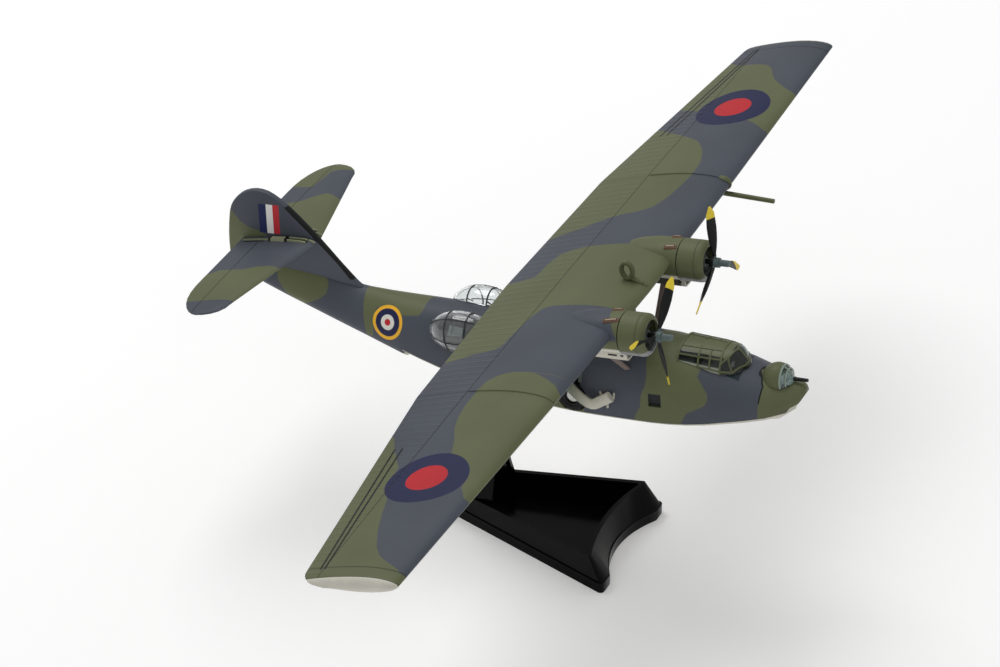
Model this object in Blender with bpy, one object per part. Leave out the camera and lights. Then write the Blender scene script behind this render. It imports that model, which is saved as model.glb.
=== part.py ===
"""Display model of a twin-engined flying boat with its landing gear drawn up, on a black plastic stand.

The aircraft is modelled in its own axes, with +X to port, the nose at -Y and the thrust line level.
An empty then sets the whole aircraft nose-up on its stand, whose underside is at the origin.
"""
import math

import bmesh
import bpy
from mathutils import Matrix, Vector

MM = 0.001

# How the aircraft sits: the stand's underside is centred on the origin.
NOSE_UP = math.radians(9.7)
BOW_AHEAD_OF_ORIGIN = 59.0 * MM
BOW_DATUM_HEIGHT = 44.3 * MM

# Gap between pieces that are glued or pressed together, and the running gap of a shaft.
SEAM = 0.12 * MM
SHAFT_CLEARANCE = 0.08 * MM

# Stand
STAND_LENGTH = 42.0 * MM
STAND_FRONT_WIDTH = 31.0 * MM
STAND_REAR_WIDTH = 8.8 * MM
STAND_FRONT_HEIGHT = 7.8 * MM
STAND_REAR_HEIGHT = 6.3 * MM
STAND_FOOT_HEIGHT = 2.4 * MM
STAND_FRONT_SLOPE = 3.7 * MM
STAND_FOOT_HOLLOW = 3.6 * MM
STAND_RIM_HOLLOW = 2.0 * MM
STAND_FOOT_WIDTH = 3.6 * MM
STAND_RIM_CORNER_WIDTH = 0.8 * MM
STAND_CORNER_RADIUS = 0.9 * MM
STAND_RIM_CORNER_RADIUS = 0.3 * MM
STAND_WALL = 1.0 * MM
STAND_FLOOR = 1.6 * MM
STAND_FOOT_STEP = 0.25 * MM
STAND_WALL_DRAFT = 0.15 * MM

# The stand's arm. Its flared foot fills the tray from side to side: (share of its height, share of the tray's
# half width). Above the tray: (share of its height, half width).
ARM_SETBACK = 10.0 * MM
ARM_LEAN = 2.0 * MM
ARM_FOOT_SHARES = ((0.0, 0.895), (0.12, 0.838))
ARM_HALF_WIDTHS = ((0.3, 3.9), (0.6, 3.0), (1.0, 2.8))
ARM_THICKNESS = 4.2 * MM
ARM_RECESS = 0.6 * MM
ARM_RIM = 0.8 * MM

# Hull: (station, deck height, chine height, keel height, half beam)
HULL_STATIONS = (
    (0.0, 9.9, 9.0, 8.6, 0.9),
    (0.8, 10.6, 7.9, 7.3, 2.4),
    (1.8, 10.8, 7.0, 6.0, 3.6),
    (3.6, 11.0, 6.4, 3.9, 5.0),
    (5.2, 11.4, 6.2, 2.4, 5.9),
    (8.0, 12.4, 6.0, 1.4, 7.2),
    (14.0, 14.3, 5.5, 1.0, 8.9),
    (22.0, 16.5, 4.5, 0.8, 10.0),
    (30.0, 17.8, 4.1, 0.8, 10.3),
    (44.0, 18.2, 4.3, 0.9, 10.3),
    (58.0, 18.4, 5.5, 1.3, 10.1),
    (70.0, 18.9, 7.3, 3.0, 9.0),
    (80.0, 19.6, 9.1, 5.0, 7.5),
    (88.0, 20.1, 11.1, 7.3, 6.3),
    (98.0, 21.2, 14.1, 10.7, 4.9),
    (110.0, 23.9, 17.7, 14.9, 3.2),
    (122.0, 25.4, 21.3, 19.6, 1.7),
    (126.5, 25.8, 23.0, 21.6, 0.9),
)
HULL_LENGTH = 126.5 * MM
# (station, squareness of the section): full and round, then peaked where the deck runs up into the fin
HULL_SQUARENESS = ((0.0, 2.15), (84.0, 2.15), (98.0, 1.75), (112.0, 1.4), (126.5, 1.4))
BOTTOM_FLARE = 0.5
STEM_STATION = 3.0 * MM
MAIN_STEP_STATION = 58.0 * MM
MAIN_STEP_DEPTH = 1.0 * MM
SECOND_STEP_STATION = 88.0 * MM
STEP_RAKE = 0.25 * MM

# Cockpit canopy and the well below it
CANOPY_FRONT = 11.5 * MM
CANOPY_BREAK = 14.2 * MM
WINDSHIELD_LENGTH = 5.6 * MM
WINDSHIELD_NOSE_SHARE = 0.35
CANOPY_REAR = 25.4 * MM
CANOPY_TOP_FRONT = 17.3 * MM
CANOPY_TOP_REAR = 18.2 * MM
CANOPY_HALF_WIDTH = 5.3 * MM
CANOPY_SINK = 3.6 * MM
CANOPY_ROUNDNESS = 0.82
CANOPY_GLASS = 0.45 * MM
COCKPIT_DEPTH = 3.2 * MM
COCKPIT_WALL = 2.4 * MM
COCKPIT_MARGIN = 1.0 * MM

# Bow turret and gun
TURRET_STATION = 5.9 * MM
TURRET_RADIUS = 3.3 * MM
TURRET_CENTRE_HEIGHT = 11.4 * MM
TURRET_GLASS_PLANE = 1.3 * MM
GUN_LENGTH = 3.1 * MM
GUN_RADIUS = 0.45 * MM
GUN_HEIGHT = 11.7 * MM

# Waist blisters
BLISTER_STATION = 73.5 * MM
BLISTER_OFFSET = 5.15 * MM
BLISTER_HEIGHT = 16.5 * MM
BLISTER_LENGTH = 14.6 * MM
BLISTER_BULGE = 4.0 * MM
BLISTER_DEPTH = 9.2 * MM
BLISTER_GLASS = 0.45 * MM
WAIST_SILL = 1.1 * MM
WAIST_END_SILL = 1.75 * MM

# Black window low on each side of the bow
WINDOW_STATION = 29.1 * MM
WINDOW_HEIGHT = 8.9 * MM
WINDOW_LENGTH = 2.7 * MM
WINDOW_DEPTH = 2.6 * MM
WINDOW_RECESS = 0.35 * MM

# Retracted landing gear
WHEEL_STATION = 47.5 * MM
WHEEL_HEIGHT = 7.4 * MM
WHEEL_RADIUS = 3.0 * MM
WHEEL_WIDTH = 2.2 * MM
WHEEL_HUB_RADIUS = 1.5 * MM
WHEEL_HUB_PROUD = 0.45 * MM
WHEEL_WELL_MARGIN = 0.3 * MM
WHEEL_PROUD = 0.3 * MM
LEG_HALF_WIDTH = 1.2 * MM
LEG_HALF_DEPTH = 0.75 * MM
LEG_CHANNEL_WIDTH = 3.2 * MM
LEG_CHANNEL_SHIFT = -0.4 * MM
LEG_CHANNEL_DEPTH = 0.9 * MM
LEG_CHANNEL_TOP = 15.4 * MM

# Pylon
PYLON_FRONT = 35.6 * MM
PYLON_LENGTH = 24.0 * MM
PYLON_WIDTH = 7.2 * MM
PYLON_FOOT_FLARE = 1.5
PYLON_SINK = 2.0 * MM

# Wing
WING_SPAN = 211.3 * MM
WING_TIP_CAP = 1.3 * MM
WING_TIP_CORNER = 2.2 * MM
WING_JOINT = 42.9 * MM
WING_ROOT_LEADING_EDGE = 31.4 * MM
WING_ROOT_CHORD = 33.0 * MM
WING_JOINT_SWEEP = 0.9 * MM
WING_JOINT_CHORD = 30.6 * MM
WING_TIP_SWEEP = 2.7 * MM
WING_TIP_CHORD = 20.4 * MM
WING_HEIGHT = 28.8 * MM
WING_INCIDENCE = math.radians(5.8)
WING_ROOT_THICKNESS = 0.135
WING_TIP_THICKNESS = 0.125
WING_CAMBER = 0.015
TRAILING_EDGE_THICKNESS = 0.35 * MM
FLOAT_DEPTH = 0.7 * MM

# Wing struts
STRUT_FOOT_SINK = 2.5 * MM
STRUT_FOOT_HEIGHT = 12.2 * MM
STRUT_WING_OFFSET = 31.0 * MM
STRUT_FRONT_STATION = 45.4 * MM
STRUT_SPACING = 9.6 * MM
STRUT_CHORD = 1.5 * MM
STRUT_THICKNESS = 0.75 * MM

# Engines
ENGINE_OFFSET = 14.3 * MM
THRUST_HEIGHT = 27.6 * MM
COWL_FRONT = 24.9 * MM
COWL_LENGTH = 5.4 * MM
COWL_RADIUS = 4.35 * MM
COWL_WALL = 0.5 * MM
COWL_MOUTH_RADIUS = 3.15 * MM
COWL_MOUTH_DEPTH = 0.6 * MM
NACELLE_GAP = 0.25 * MM
NACELLE_LENGTH = 20.0 * MM
ENGINE_RADIUS = 3.5 * MM
ENGINE_DEPTH = 2.6 * MM
ENGINE_SETBACK = 1.1 * MM
ENGINE_CYLINDERS = 9
CYLINDER_ROOT_SHARE = 0.35
CRANKCASE_RADIUS = 1.5 * MM
CRANKCASE_PROUD = 0.4 * MM
COOLER_FRONT = 30.2 * MM
COOLER_LENGTH = 7.0 * MM
COOLER_WIDTH = 3.6 * MM
COOLER_HEIGHT = 3.0 * MM
COOLER_BOTTOM = 21.7 * MM
COOLER_LIP = 0.35 * MM
COOLER_MOUTH_DEPTH = 1.2 * MM

# Propellers
PROPELLER_RADIUS = 12.38 * MM
PROPELLER_STATION = 23.65 * MM
PROPELLER_BLADES = 3
PROPELLER_ANGLE = {"starboard": math.radians(51.4), "port": math.radians(4.0)}
BLADE_CHORD = 2.15 * MM
BLADE_THICKNESS = 0.55 * MM
# (share of the blade's length, pitch in degrees)
BLADE_PITCHES = ((0.0, 76), (0.4, 60), (0.6, 48), (0.8, 30), (1.0, 20))
HUB_RADIUS = 1.05 * MM
HUB_LENGTH = 2.0 * MM
GEAR_CASE_LENGTH = 2.2 * MM
GEAR_CASE_RADIUS = 0.7 * MM
SHAFT_RADIUS = 0.5 * MM
SHAFT_LENGTH = 3.4 * MM

# Tail: the fin's outline runs up its front edge, over the top and down the rudder.
FIN_THICKNESS = 1.5 * MM
FIN_OUTLINE = (
    (96.5, 17.0), (97.2, 20.0), (99.6, 22.3), (103.1, 26.7), (106.9, 31.8), (110.8, 36.5), (113.4, 39.2),
    (115.2, 40.7), (117.4, 42.0), (120.0, 42.4), (122.6, 41.8), (124.9, 40.3), (126.8, 38.1), (127.8, 35.5),
    (128.8, 31.5), (129.5, 27.0), (129.4, 23.6), (128.2, 21.6), (126.0, 20.6), (118.0, 18.8),
)
TAILPLANE_SPAN = 62.8 * MM
TAILPLANE_FRONT = 106.9 * MM
TAILPLANE_REAR = 125.2 * MM
TAILPLANE_TIP_STATION = 118.8 * MM
TAILPLANE_SWEEP = 0.245
TAILPLANE_FRONT_ROUND = 5.4 * MM
TAILPLANE_REAR_ROUND = 11.4 * MM
TAILPLANE_HEIGHT = 31.4 * MM
TAILPLANE_THICKNESS = 0.10
TAILPLANE_SET = math.radians(3.0)

# Small fittings on the wing
AERIAL_RING_STATION = 36.2 * MM
AERIAL_RING_RADIUS = 1.45 * MM
AERIAL_RING_WIRE = 0.6 * MM
AERIAL_RING_LIFT = 1.2 * MM
AERIAL_RIB_RADIUS = 0.4 * MM
PITOT_LENGTH = 11.3 * MM
PITOT_RADIUS = 0.55 * MM
PITOT_DROP = 2.4 * MM
PITOT_SLOPE = 0.8 * MM
PITOT_SADDLE_RADII = (1.2 * MM, 1.9 * MM, 1.7 * MM)

SIDES = {"port": 1, "starboard": -1}

FINISHES = {
    "olive_paint": ((0.122, 0.131, 0.068), 0.55, 0.0),
    "grey_paint": ((0.065, 0.072, 0.093), 0.55, 0.0),
    "pale_paint": ((0.62, 0.61, 0.57), 0.5, 0.0),
    "clear_plastic": ((0.45, 0.52, 0.52), 0.1, 0.0),
    "black_plastic": ((0.006, 0.006, 0.007), 0.25, 0.0),
    "black_paint": ((0.01, 0.01, 0.011), 0.45, 0.0),
    "tyre_black": ((0.015, 0.015, 0.016), 0.7, 0.0),
    "engine_grey": ((0.09, 0.10, 0.105), 0.5, 0.0),
}


def finish(name):
    """The Principled material of one of the model's finishes."""
    material = bpy.data.materials.get(name)
    if material is None:
        colour, roughness, metallic = FINISHES[name]
        material = bpy.data.materials.new(name)
        material.use_nodes = True
        shader = material.node_tree.nodes["Principled BSDF"]
        shader.inputs["Base Color"].default_value = (*colour, 1.0)
        shader.inputs["Roughness"].default_value = roughness
        shader.inputs["Metallic"].default_value = metallic
    return material


def add_object(name, shape, finish_name, parent):
    """A bmesh as a named object under the given empty, shaded smooth with its creases kept."""
    bmesh.ops.remove_doubles(shape, verts=shape.verts, dist=0.002 * MM)
    bmesh.ops.recalc_face_normals(shape, faces=shape.faces)
    mesh = bpy.data.meshes.new(name)
    shape.to_mesh(mesh)
    shape.free()
    mesh.materials.append(finish(finish_name))
    mesh.shade_smooth()
    mesh.set_sharp_from_angle(angle=math.radians(35))
    piece = bpy.data.objects.new(name, mesh)
    bpy.context.scene.collection.objects.link(piece)
    piece.parent = parent
    return piece


def add_cutter(name, shape, parent):
    """A guide for a Boolean, which isn't a piece of the model."""
    cutter = add_object(name, shape, "black_paint", parent)
    cutter.hide_render = True
    cutter.display_type = "WIRE"
    return cutter


def boolean(piece, tool, operation="DIFFERENCE"):
    modifier = piece.modifiers.new(f"{operation.lower()} {tool.name}", "BOOLEAN")
    modifier.operation = operation
    modifier.object = tool
    modifier.solver = "EXACT"


def grown_copy(host):
    """A cutter with the host's own surface moved out by the seam."""
    shape = bmesh.new()
    shape.from_mesh(host.data)
    shape.normal_update()
    moved = [vert.co + vert.normal * SEAM * min(vert.calc_shell_factor(), 1.6) for vert in shape.verts]
    for vert, place in zip(shape.verts, moved):
        vert.co = place
    return add_cutter(f"{host.name}_seat", shape, host.parent)


def seat(piece, *hosts):
    """Cut the piece to the surfaces that it is glued to, with the seam between them."""
    for host in hosts:
        boolean(piece, grown_copy(host))


def circle(count, start=0.0):
    return [start + 2 * math.pi * k / count for k in range(count)]


def join_rings(shape, rows, closed_rows=False):
    """Quads between rings of vertices, and on from the last ring to the first one if the rows are closed."""
    count = len(rows[0])
    pairs = list(zip(rows, rows[1:]))
    if closed_rows:
        pairs.append((rows[-1], rows[0]))
    for row, following in pairs:
        for i in range(count):
            j = (i + 1) % count
            shape.faces.new((row[i], row[j], following[j], following[i]))


def loft(rings):
    """A closed body through rings that have the same number of points, with its two ends filled."""
    shape = bmesh.new()
    rows = [[shape.verts.new(point) for point in ring] for ring in rings]
    join_rings(shape, rows)
    shape.faces.new(list(reversed(rows[0])))
    shape.faces.new(rows[-1])
    return shape


def turned_ring(profile, axis, steps):
    """A hollow body turned about a line along Y, from a closed loop of (station, radius) pairs."""
    shape = bmesh.new()
    rows = [[shape.verts.new((axis[0] + radius * math.sin(a), station, axis[2] + radius * math.cos(a)))
             for station, radius in profile] for a in circle(steps)]
    join_rings(shape, rows, closed_rows=True)
    return shape


def turned_solid(profile, axis, steps=16):
    """A solid turned about a line along Y, from (station, radius) pairs that start and end on the line."""
    shape = bmesh.new()
    first = shape.verts.new((axis[0], profile[0][0], axis[2]))
    last = shape.verts.new((axis[0], profile[-1][0], axis[2]))
    rows = [[shape.verts.new((axis[0] + radius * math.sin(a), station, axis[2] + radius * math.cos(a)))
             for a in circle(steps)] for station, radius in profile[1:-1]]
    join_rings(shape, rows)
    for i in range(steps):
        j = (i + 1) % steps
        shape.faces.new((first, rows[0][j], rows[0][i]))
        shape.faces.new((last, rows[-1][i], rows[-1][j]))
    return shape


def box(low, high):
    shape = bmesh.new()
    bmesh.ops.create_cube(shape, size=1.0)
    size = Vector(high) - Vector(low)
    middle = (Vector(high) + Vector(low)) / 2
    for vert in shape.verts:
        vert.co = Vector(vert.co[i] * size[i] for i in range(3)) + middle
    return shape


def ellipsoid(centre, radii, segments=20, rings=12):
    shape = bmesh.new()
    bmesh.ops.create_uvsphere(shape, u_segments=segments, v_segments=rings, radius=1.0)
    turn = Matrix.Rotation(math.pi / 2, 3, "X")
    for vert in shape.verts:
        unit = turn @ vert.co
        vert.co = Vector(centre) + Vector(unit[i] * radii[i] for i in range(3))
    return shape


def bar_ring(centre, along, up, half_up, half_across, sides):
    """One elliptical section of a bar that runs along a direction."""
    across = along.cross(up).normalized()
    rise = across.cross(along).normalized()
    return [centre + rise * (half_up * math.cos(a)) + across * (half_across * math.sin(a)) for a in circle(sides)]


def rod(start, end, radius, end_radius=None, sides=12):
    start = Vector(start)
    end = Vector(end)
    along = (end - start).normalized()
    up = Vector((0, 0, 1)) if abs(along.z) < 0.9 else Vector((0, 1, 0))
    last = radius if end_radius is None else end_radius
    return loft([bar_ring(start, along, up, radius, radius, sides), bar_ring(end, along, up, last, last, sides)])


def smooth_route(route, steps=4):
    """Places along a smooth curve through the route's points."""
    points = [Vector(p) for p in route]
    padded = [2 * points[0] - points[1]] + points + [2 * points[-1] - points[-2]]
    places = []
    for i in range(len(points) - 1):
        p0, p1, p2, p3 = padded[i:i + 4]
        for k in range(steps):
            t = k / steps
            places.append(0.5 * (2 * p1 + (p2 - p0) * t + (2 * p0 - 5 * p1 + 4 * p2 - p3) * t**2
                                 + (3 * p1 - p0 - 3 * p2 + p3) * t**3))
    places.append(points[-1])
    return places


def bent_bar(route, half_side, half_across, sides=10):
    """A bar along a route that bends in a plane across X: its section is half_side thick along X."""
    places = smooth_route(route)
    rings = []
    for i, place in enumerate(places):
        along = (places[min(i + 1, len(places) - 1)] - places[max(i - 1, 0)]).normalized()
        rings.append(bar_ring(place, along, Vector((1, 0, 0)), half_side, half_across, sides))
    return loft(rings)


def plate(outline, low, high, axis="X"):
    """A flat outline of (a, b) pairs carried from low to high along one axis."""
    place = {"X": lambda level, a, b: (level, a, b), "Y": lambda level, a, b: (a, level, b)}[axis]
    return loft([[place(level, a, b) for a, b in outline] for level in (low, high)])


def smooth_value(pairs, at):
    """The value at a station, on a smooth curve that doesn't overshoot its (station, value) pairs."""
    if at <= pairs[0][0]:
        return pairs[0][1]
    if at >= pairs[-1][0]:
        return pairs[-1][1]
    slopes = [(y1 - y0) / (x1 - x0) for (x0, y0), (x1, y1) in zip(pairs, pairs[1:])]
    tangents = [slopes[0]]
    for before, after in zip(slopes, slopes[1:]):
        tangents.append(0.0 if before * after <= 0 else 2 * before * after / (before + after))
    tangents.append(slopes[-1])
    i = next(k for k in range(len(slopes)) if at <= pairs[k + 1][0])
    (x0, y0), (x1, y1) = pairs[i], pairs[i + 1]
    span = x1 - x0
    t = (at - x0) / span
    return ((2 * t**3 - 3 * t**2 + 1) * y0 + (t**3 - 2 * t**2 + t) * span * tangents[i]
            + (3 * t**2 - 2 * t**3) * y1 + (t**3 - t**2) * span * tangents[i + 1])


def signed_power(value, power):
    return math.copysign(abs(value) ** power, value)


def hull_value(column, station):
    """Deck (1), chine (2), keel (3) height or half beam (4) of the hull at a station, in metres."""
    stretch = HULL_LENGTH / (HULL_STATIONS[-1][0] * MM)
    pairs = [(row[0] * MM * stretch, row[column] * MM) for row in HULL_STATIONS]
    return smooth_value(pairs, station)


def hull_squareness(station):
    stretch = HULL_LENGTH / (HULL_STATIONS[-1][0] * MM)
    return smooth_value([(place * MM * stretch, value) for place, value in HULL_SQUARENESS], station)


def hull_half_width(station, height):
    """How far the hull's side is from the centreline at a height above the chine."""
    chine = hull_value(2, station)
    share = max(0.0, min(1.0, (height - chine) / (hull_value(1, station) - chine)))
    square = hull_squareness(station)
    return hull_value(4, station) * (1 - share**square) ** (1 / square)


def hull_ring(station, with_belly, points=14, belly_points=8):
    """The hull's section above the chine, and below it too where the tail has no chine."""
    deck = hull_value(1, station)
    chine = hull_value(2, station)
    keel = hull_value(3, station)
    beam = hull_value(4, station)
    power = 2 / hull_squareness(station)
    ring = []
    for k in range(points + 1):
        angle = math.pi * k / points
        ring.append((beam * signed_power(math.cos(angle), power), station,
                     chine + (deck - chine) * math.sin(angle) ** power))
    belly = chine - keel if with_belly else 0.0
    for k in range(1, belly_points):
        angle = math.pi * k / belly_points
        ring.append((-beam * math.cos(angle), station, chine - belly * math.sin(angle)))
    return ring


def spread(first, last, step):
    """Even stations from first to last, about a step apart."""
    count = max(2, round((last - first) / step))
    return [first + (last - first) * k / count for k in range(count + 1)]


def make_hull(aircraft):
    nose = spread(0.0, 1.0 * MM, 0.35 * MM)
    rings = [hull_ring(s, False) for s in nose[:-1] + spread(nose[-1], SECOND_STEP_STATION, 4.0 * MM)]
    rings += [hull_ring(s, True) for s in spread(SECOND_STEP_STATION + STEP_RAKE, HULL_LENGTH, 4.5 * MM)]
    return add_object("hull", loft(rings), "grey_paint", aircraft)


def bottom_ring(station, keel_lift=0.0):
    """The planing bottom's section: a vee with a small flare out to the chines."""
    chine = hull_value(2, station) - SEAM
    keel = hull_value(3, station) + keel_lift
    beam = hull_value(4, station)
    depth = chine - keel
    half = [(beam, chine), (beam * 0.97, chine - 0.12 * depth), (beam * 0.5, chine - BOTTOM_FLARE * depth)]
    ring = [(x, station, z) for x, z in half] + [(0.0, station, keel)]
    return ring + [(-x, station, z) for x, z in reversed(half)]


def make_hull_bottom(aircraft):
    """The planing bottom, with its main step and the second step at its rear end."""
    rings = [bottom_ring(s) for s in spread(STEM_STATION, MAIN_STEP_STATION, 4.0 * MM)]
    rings += [bottom_ring(s, MAIN_STEP_DEPTH)
              for s in spread(MAIN_STEP_STATION + STEP_RAKE, SECOND_STEP_STATION, 4.5 * MM)]
    return add_object("hull_bottom", loft(rings), "pale_paint", aircraft)


def canopy_ring(station, inset, floor=0.0, points=14):
    """An arch over the cockpit, from below the deck up to the canopy's top."""
    front_deck = hull_value(1, CANOPY_FRONT)
    if station < CANOPY_BREAK:
        rise = math.sin(max(0.0, (station - CANOPY_FRONT) / (CANOPY_BREAK - CANOPY_FRONT)) * math.pi / 2)
        top = front_deck + (CANOPY_TOP_FRONT - front_deck) * rise
    else:
        t = (station - CANOPY_BREAK) / (CANOPY_REAR - CANOPY_BREAK)
        top = CANOPY_TOP_FRONT + (CANOPY_TOP_REAR - CANOPY_TOP_FRONT) * t
    ahead = max(0.0, 1 - (station - CANOPY_FRONT) / WINDSHIELD_LENGTH)
    width = CANOPY_HALF_WIDTH * max(WINDSHIELD_NOSE_SHARE, math.sqrt(1 - ahead**2))
    foot = hull_value(1, station) - CANOPY_SINK
    ring = []
    for k in range(points + 1):
        angle = math.pi * k / points
        across = (width - inset) * signed_power(math.cos(angle), CANOPY_ROUNDNESS)
        up = foot + (top - inset - foot) * math.sin(angle) ** CANOPY_ROUNDNESS
        ring.append((across, station, up - (floor if k in (0, points) else 0.0)))
    return ring


def make_canopy(aircraft, hull):
    """A thin glazed arch, open below, and the cockpit's well in the deck under it."""
    stations = spread(CANOPY_FRONT, CANOPY_BREAK, 0.6 * MM)
    stations += spread(CANOPY_BREAK, CANOPY_REAR, 1.8 * MM)[1:]
    canopy = add_object("cockpit_canopy", loft([canopy_ring(s, 0.0) for s in stations]), "clear_plastic", aircraft)
    rings = []
    for k, station in enumerate(stations):
        inner = station + CANOPY_GLASS * (1 - 2 * k / (len(stations) - 1))
        rings.append([(x, inner, z) for x, _, z in canopy_ring(station, CANOPY_GLASS, floor=COCKPIT_MARGIN)])
    boolean(canopy, add_cutter("canopy_hollow", loft(rings), aircraft))
    seat(canopy, hull)

    half = CANOPY_HALF_WIDTH - COCKPIT_WALL
    low = hull_value(1, CANOPY_FRONT) - COCKPIT_DEPTH
    well = box((-half, CANOPY_BREAK - COCKPIT_MARGIN, low), (half, CANOPY_REAR - COCKPIT_MARGIN, 2 * CANOPY_TOP_REAR))
    boolean(hull, add_cutter("cockpit_well", well, aircraft))


def make_turret(aircraft, hull):
    """The domed turret in the bow, glazed in front, with its gun."""
    centre = (0.0, TURRET_STATION, TURRET_CENTRE_HEIGHT)
    radii = (TURRET_RADIUS, TURRET_RADIUS, TURRET_RADIUS)
    split = TURRET_STATION - TURRET_GLASS_PLANE
    reach = 3 * TURRET_RADIUS
    for name, colour, low, high in (
        ("bow_turret", "olive_paint", split + SEAM / 2, split + reach),
        ("turret_glazing", "clear_plastic", split - reach, split - SEAM / 2),
    ):
        dome = add_object(name, ellipsoid(centre, radii), colour, aircraft)
        keep = box((-reach, low, TURRET_CENTRE_HEIGHT - reach), (reach, high, TURRET_CENTRE_HEIGHT + reach))
        boolean(dome, add_cutter(f"{name}_part", keep, aircraft), "INTERSECT")
        seat(dome, hull)
    face = TURRET_STATION - math.sqrt(TURRET_RADIUS**2 - (GUN_HEIGHT - TURRET_CENTRE_HEIGHT)**2)
    gun = rod((0.0, face + TURRET_RADIUS / 2, GUN_HEIGHT), (0.0, face - GUN_LENGTH, GUN_HEIGHT), GUN_RADIUS,
              GUN_RADIUS * 0.8)
    seat(add_object("bow_gun", gun, "black_paint", aircraft), bpy.data.objects["turret_glazing"], hull)


def make_blisters(aircraft, hull):
    """A clear blister on each side of the waist, over an opening in the hull."""
    radii = (BLISTER_BULGE, BLISTER_LENGTH / 2, BLISTER_DEPTH / 2)
    inner = [radius - BLISTER_GLASS for radius in radii]
    opening = (BLISTER_BULGE - WAIST_SILL, BLISTER_LENGTH / 2 - WAIST_END_SILL, BLISTER_DEPTH / 2 - WAIST_SILL)
    for side, sign in SIDES.items():
        centre = (sign * BLISTER_OFFSET, BLISTER_STATION, BLISTER_HEIGHT)
        glass = add_object(f"blister_{side}", ellipsoid(centre, radii), "clear_plastic", aircraft)
        boolean(glass, add_cutter(f"blister_hollow_{side}", ellipsoid(centre, inner), aircraft))
        seat(glass, hull)
        boolean(hull, add_cutter(f"waist_opening_{side}", ellipsoid(centre, opening), aircraft))


def make_side_windows(aircraft, hull):
    """A shallow rectangular recess on each side of the bow, which is painted black."""
    for side, sign in SIDES.items():
        inner = hull_half_width(WINDOW_STATION, WINDOW_HEIGHT) - WINDOW_RECESS
        ends = sorted((sign * inner, sign * (inner + 3 * WINDOW_DEPTH)))
        recess = box((ends[0], WINDOW_STATION - WINDOW_LENGTH / 2, WINDOW_HEIGHT - WINDOW_DEPTH / 2),
                     (ends[1], WINDOW_STATION + WINDOW_LENGTH / 2, WINDOW_HEIGHT + WINDOW_DEPTH / 2))
        boolean(hull, add_cutter(f"side_window_{side}", recess, aircraft))


def make_landing_gear(aircraft, hull, bottom):
    """The drawn-up main wheels, flat in their wells, each with its leg folded over it along the hull."""
    beam = hull_value(4, WHEEL_STATION)
    outer = beam + WHEEL_PROUD
    inner = outer - WHEEL_WIDTH
    for side, sign in SIDES.items():
        def across(distance, sign=sign):
            return (sign * distance, WHEEL_STATION, WHEEL_HEIGHT)

        make_leg(aircraft, side, sign, hull, bottom)
        well = rod(across(inner - SEAM), across(2 * outer), WHEEL_RADIUS + WHEEL_WELL_MARGIN, sides=28)
        cutter = add_cutter(f"wheel_well_{side}", well, aircraft)
        boolean(hull, cutter)
        boolean(bottom, cutter)
        channel_front = WHEEL_STATION + LEG_CHANNEL_SHIFT - LEG_CHANNEL_WIDTH / 2
        outline = []
        for height, depth in ((WHEEL_HEIGHT, LEG_CHANNEL_DEPTH), (LEG_CHANNEL_TOP, LEG_CHANNEL_DEPTH)):
            outline.append((sign * (hull_half_width(WHEEL_STATION, height) - depth), height))
        outline += [(sign * 2 * beam, LEG_CHANNEL_TOP), (sign * 2 * beam, WHEEL_HEIGHT)]
        channel = plate(outline, channel_front, channel_front + LEG_CHANNEL_WIDTH, "Y")
        boolean(hull, add_cutter(f"leg_channel_{side}", channel, aircraft))

        tyre = rod(across(inner), across(outer), WHEEL_RADIUS, sides=28)
        tyre = add_object(f"main_tyre_{side}", tyre, "tyre_black", aircraft)
        edge = tyre.modifiers.new("rounded tread", "BEVEL")
        edge.width = WHEEL_WIDTH * 0.25
        edge.segments = 2
        hub = rod(across(outer + SEAM), across(outer + WHEEL_HUB_PROUD), WHEEL_HUB_RADIUS, WHEEL_HUB_RADIUS * 0.8, 20)
        add_object(f"wheel_hub_{side}", hub, "pale_paint", aircraft)


def make_leg(aircraft, side, sign, hull, bottom):
    """The flat bent leg that crosses the wheel's upper front and ends against the hull's side."""
    clear = hull_value(4, WHEEL_STATION) + WHEEL_PROUD + WHEEL_HUB_PROUD + SEAM + LEG_HALF_DEPTH
    low = hull_value(4, WHEEL_STATION) + LEG_HALF_DEPTH
    route = [(clear - 0.9 * MM, WHEEL_STATION + 0.7 * MM, WHEEL_HEIGHT + 6.2 * MM),
             (clear, WHEEL_STATION - 0.9 * MM, WHEEL_HEIGHT + 4.0 * MM),
             (clear, WHEEL_STATION - 3.1 * MM, WHEEL_HEIGHT + 1.5 * MM),
             (clear - 0.2 * MM, WHEEL_STATION - 5.2 * MM, WHEEL_HEIGHT + 0.1 * MM),
             (low, WHEEL_STATION - 7.1 * MM, WHEEL_HEIGHT + 0.7 * MM),
             (low - 0.3 * MM, WHEEL_STATION - 9.2 * MM, WHEEL_HEIGHT + 1.8 * MM)]
    leg = bent_bar([(sign * x, y, z) for x, y, z in route], LEG_HALF_DEPTH, LEG_HALF_WIDTH)
    seat(add_object(f"main_leg_{side}", leg, "pale_paint", aircraft), hull, bottom)


def aerofoil(leading, chord, height, ratio, incidence, camber, points=14):
    """A wing section as (station, height) pairs, from the trailing edge over the top and back below."""
    def surface(t, side):
        thickness = 5 * ratio * (0.2969 * math.sqrt(t) - 0.1260 * t - 0.3516 * t**2 + 0.2843 * t**3 - 0.1036 * t**4)
        thickness += t * TRAILING_EDGE_THICKNESS / 2 / chord
        line = camber * (0.8 * t - t**2) / 0.16 if t < 0.4 else camber * (0.2 + 0.8 * t - t**2) / 0.36
        return t * chord, (line + side * thickness) * chord
    steps = [0.5 * (1 + math.cos(math.pi * k / points)) for k in range(points + 1)]
    pairs = [surface(t, 1) for t in steps] + [surface(t, -1) for t in reversed(steps[:-1])]
    return [(leading + along * math.cos(incidence) + up * math.sin(incidence),
             height - along * math.sin(incidence) + up * math.cos(incidence)) for along, up in pairs]


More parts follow.
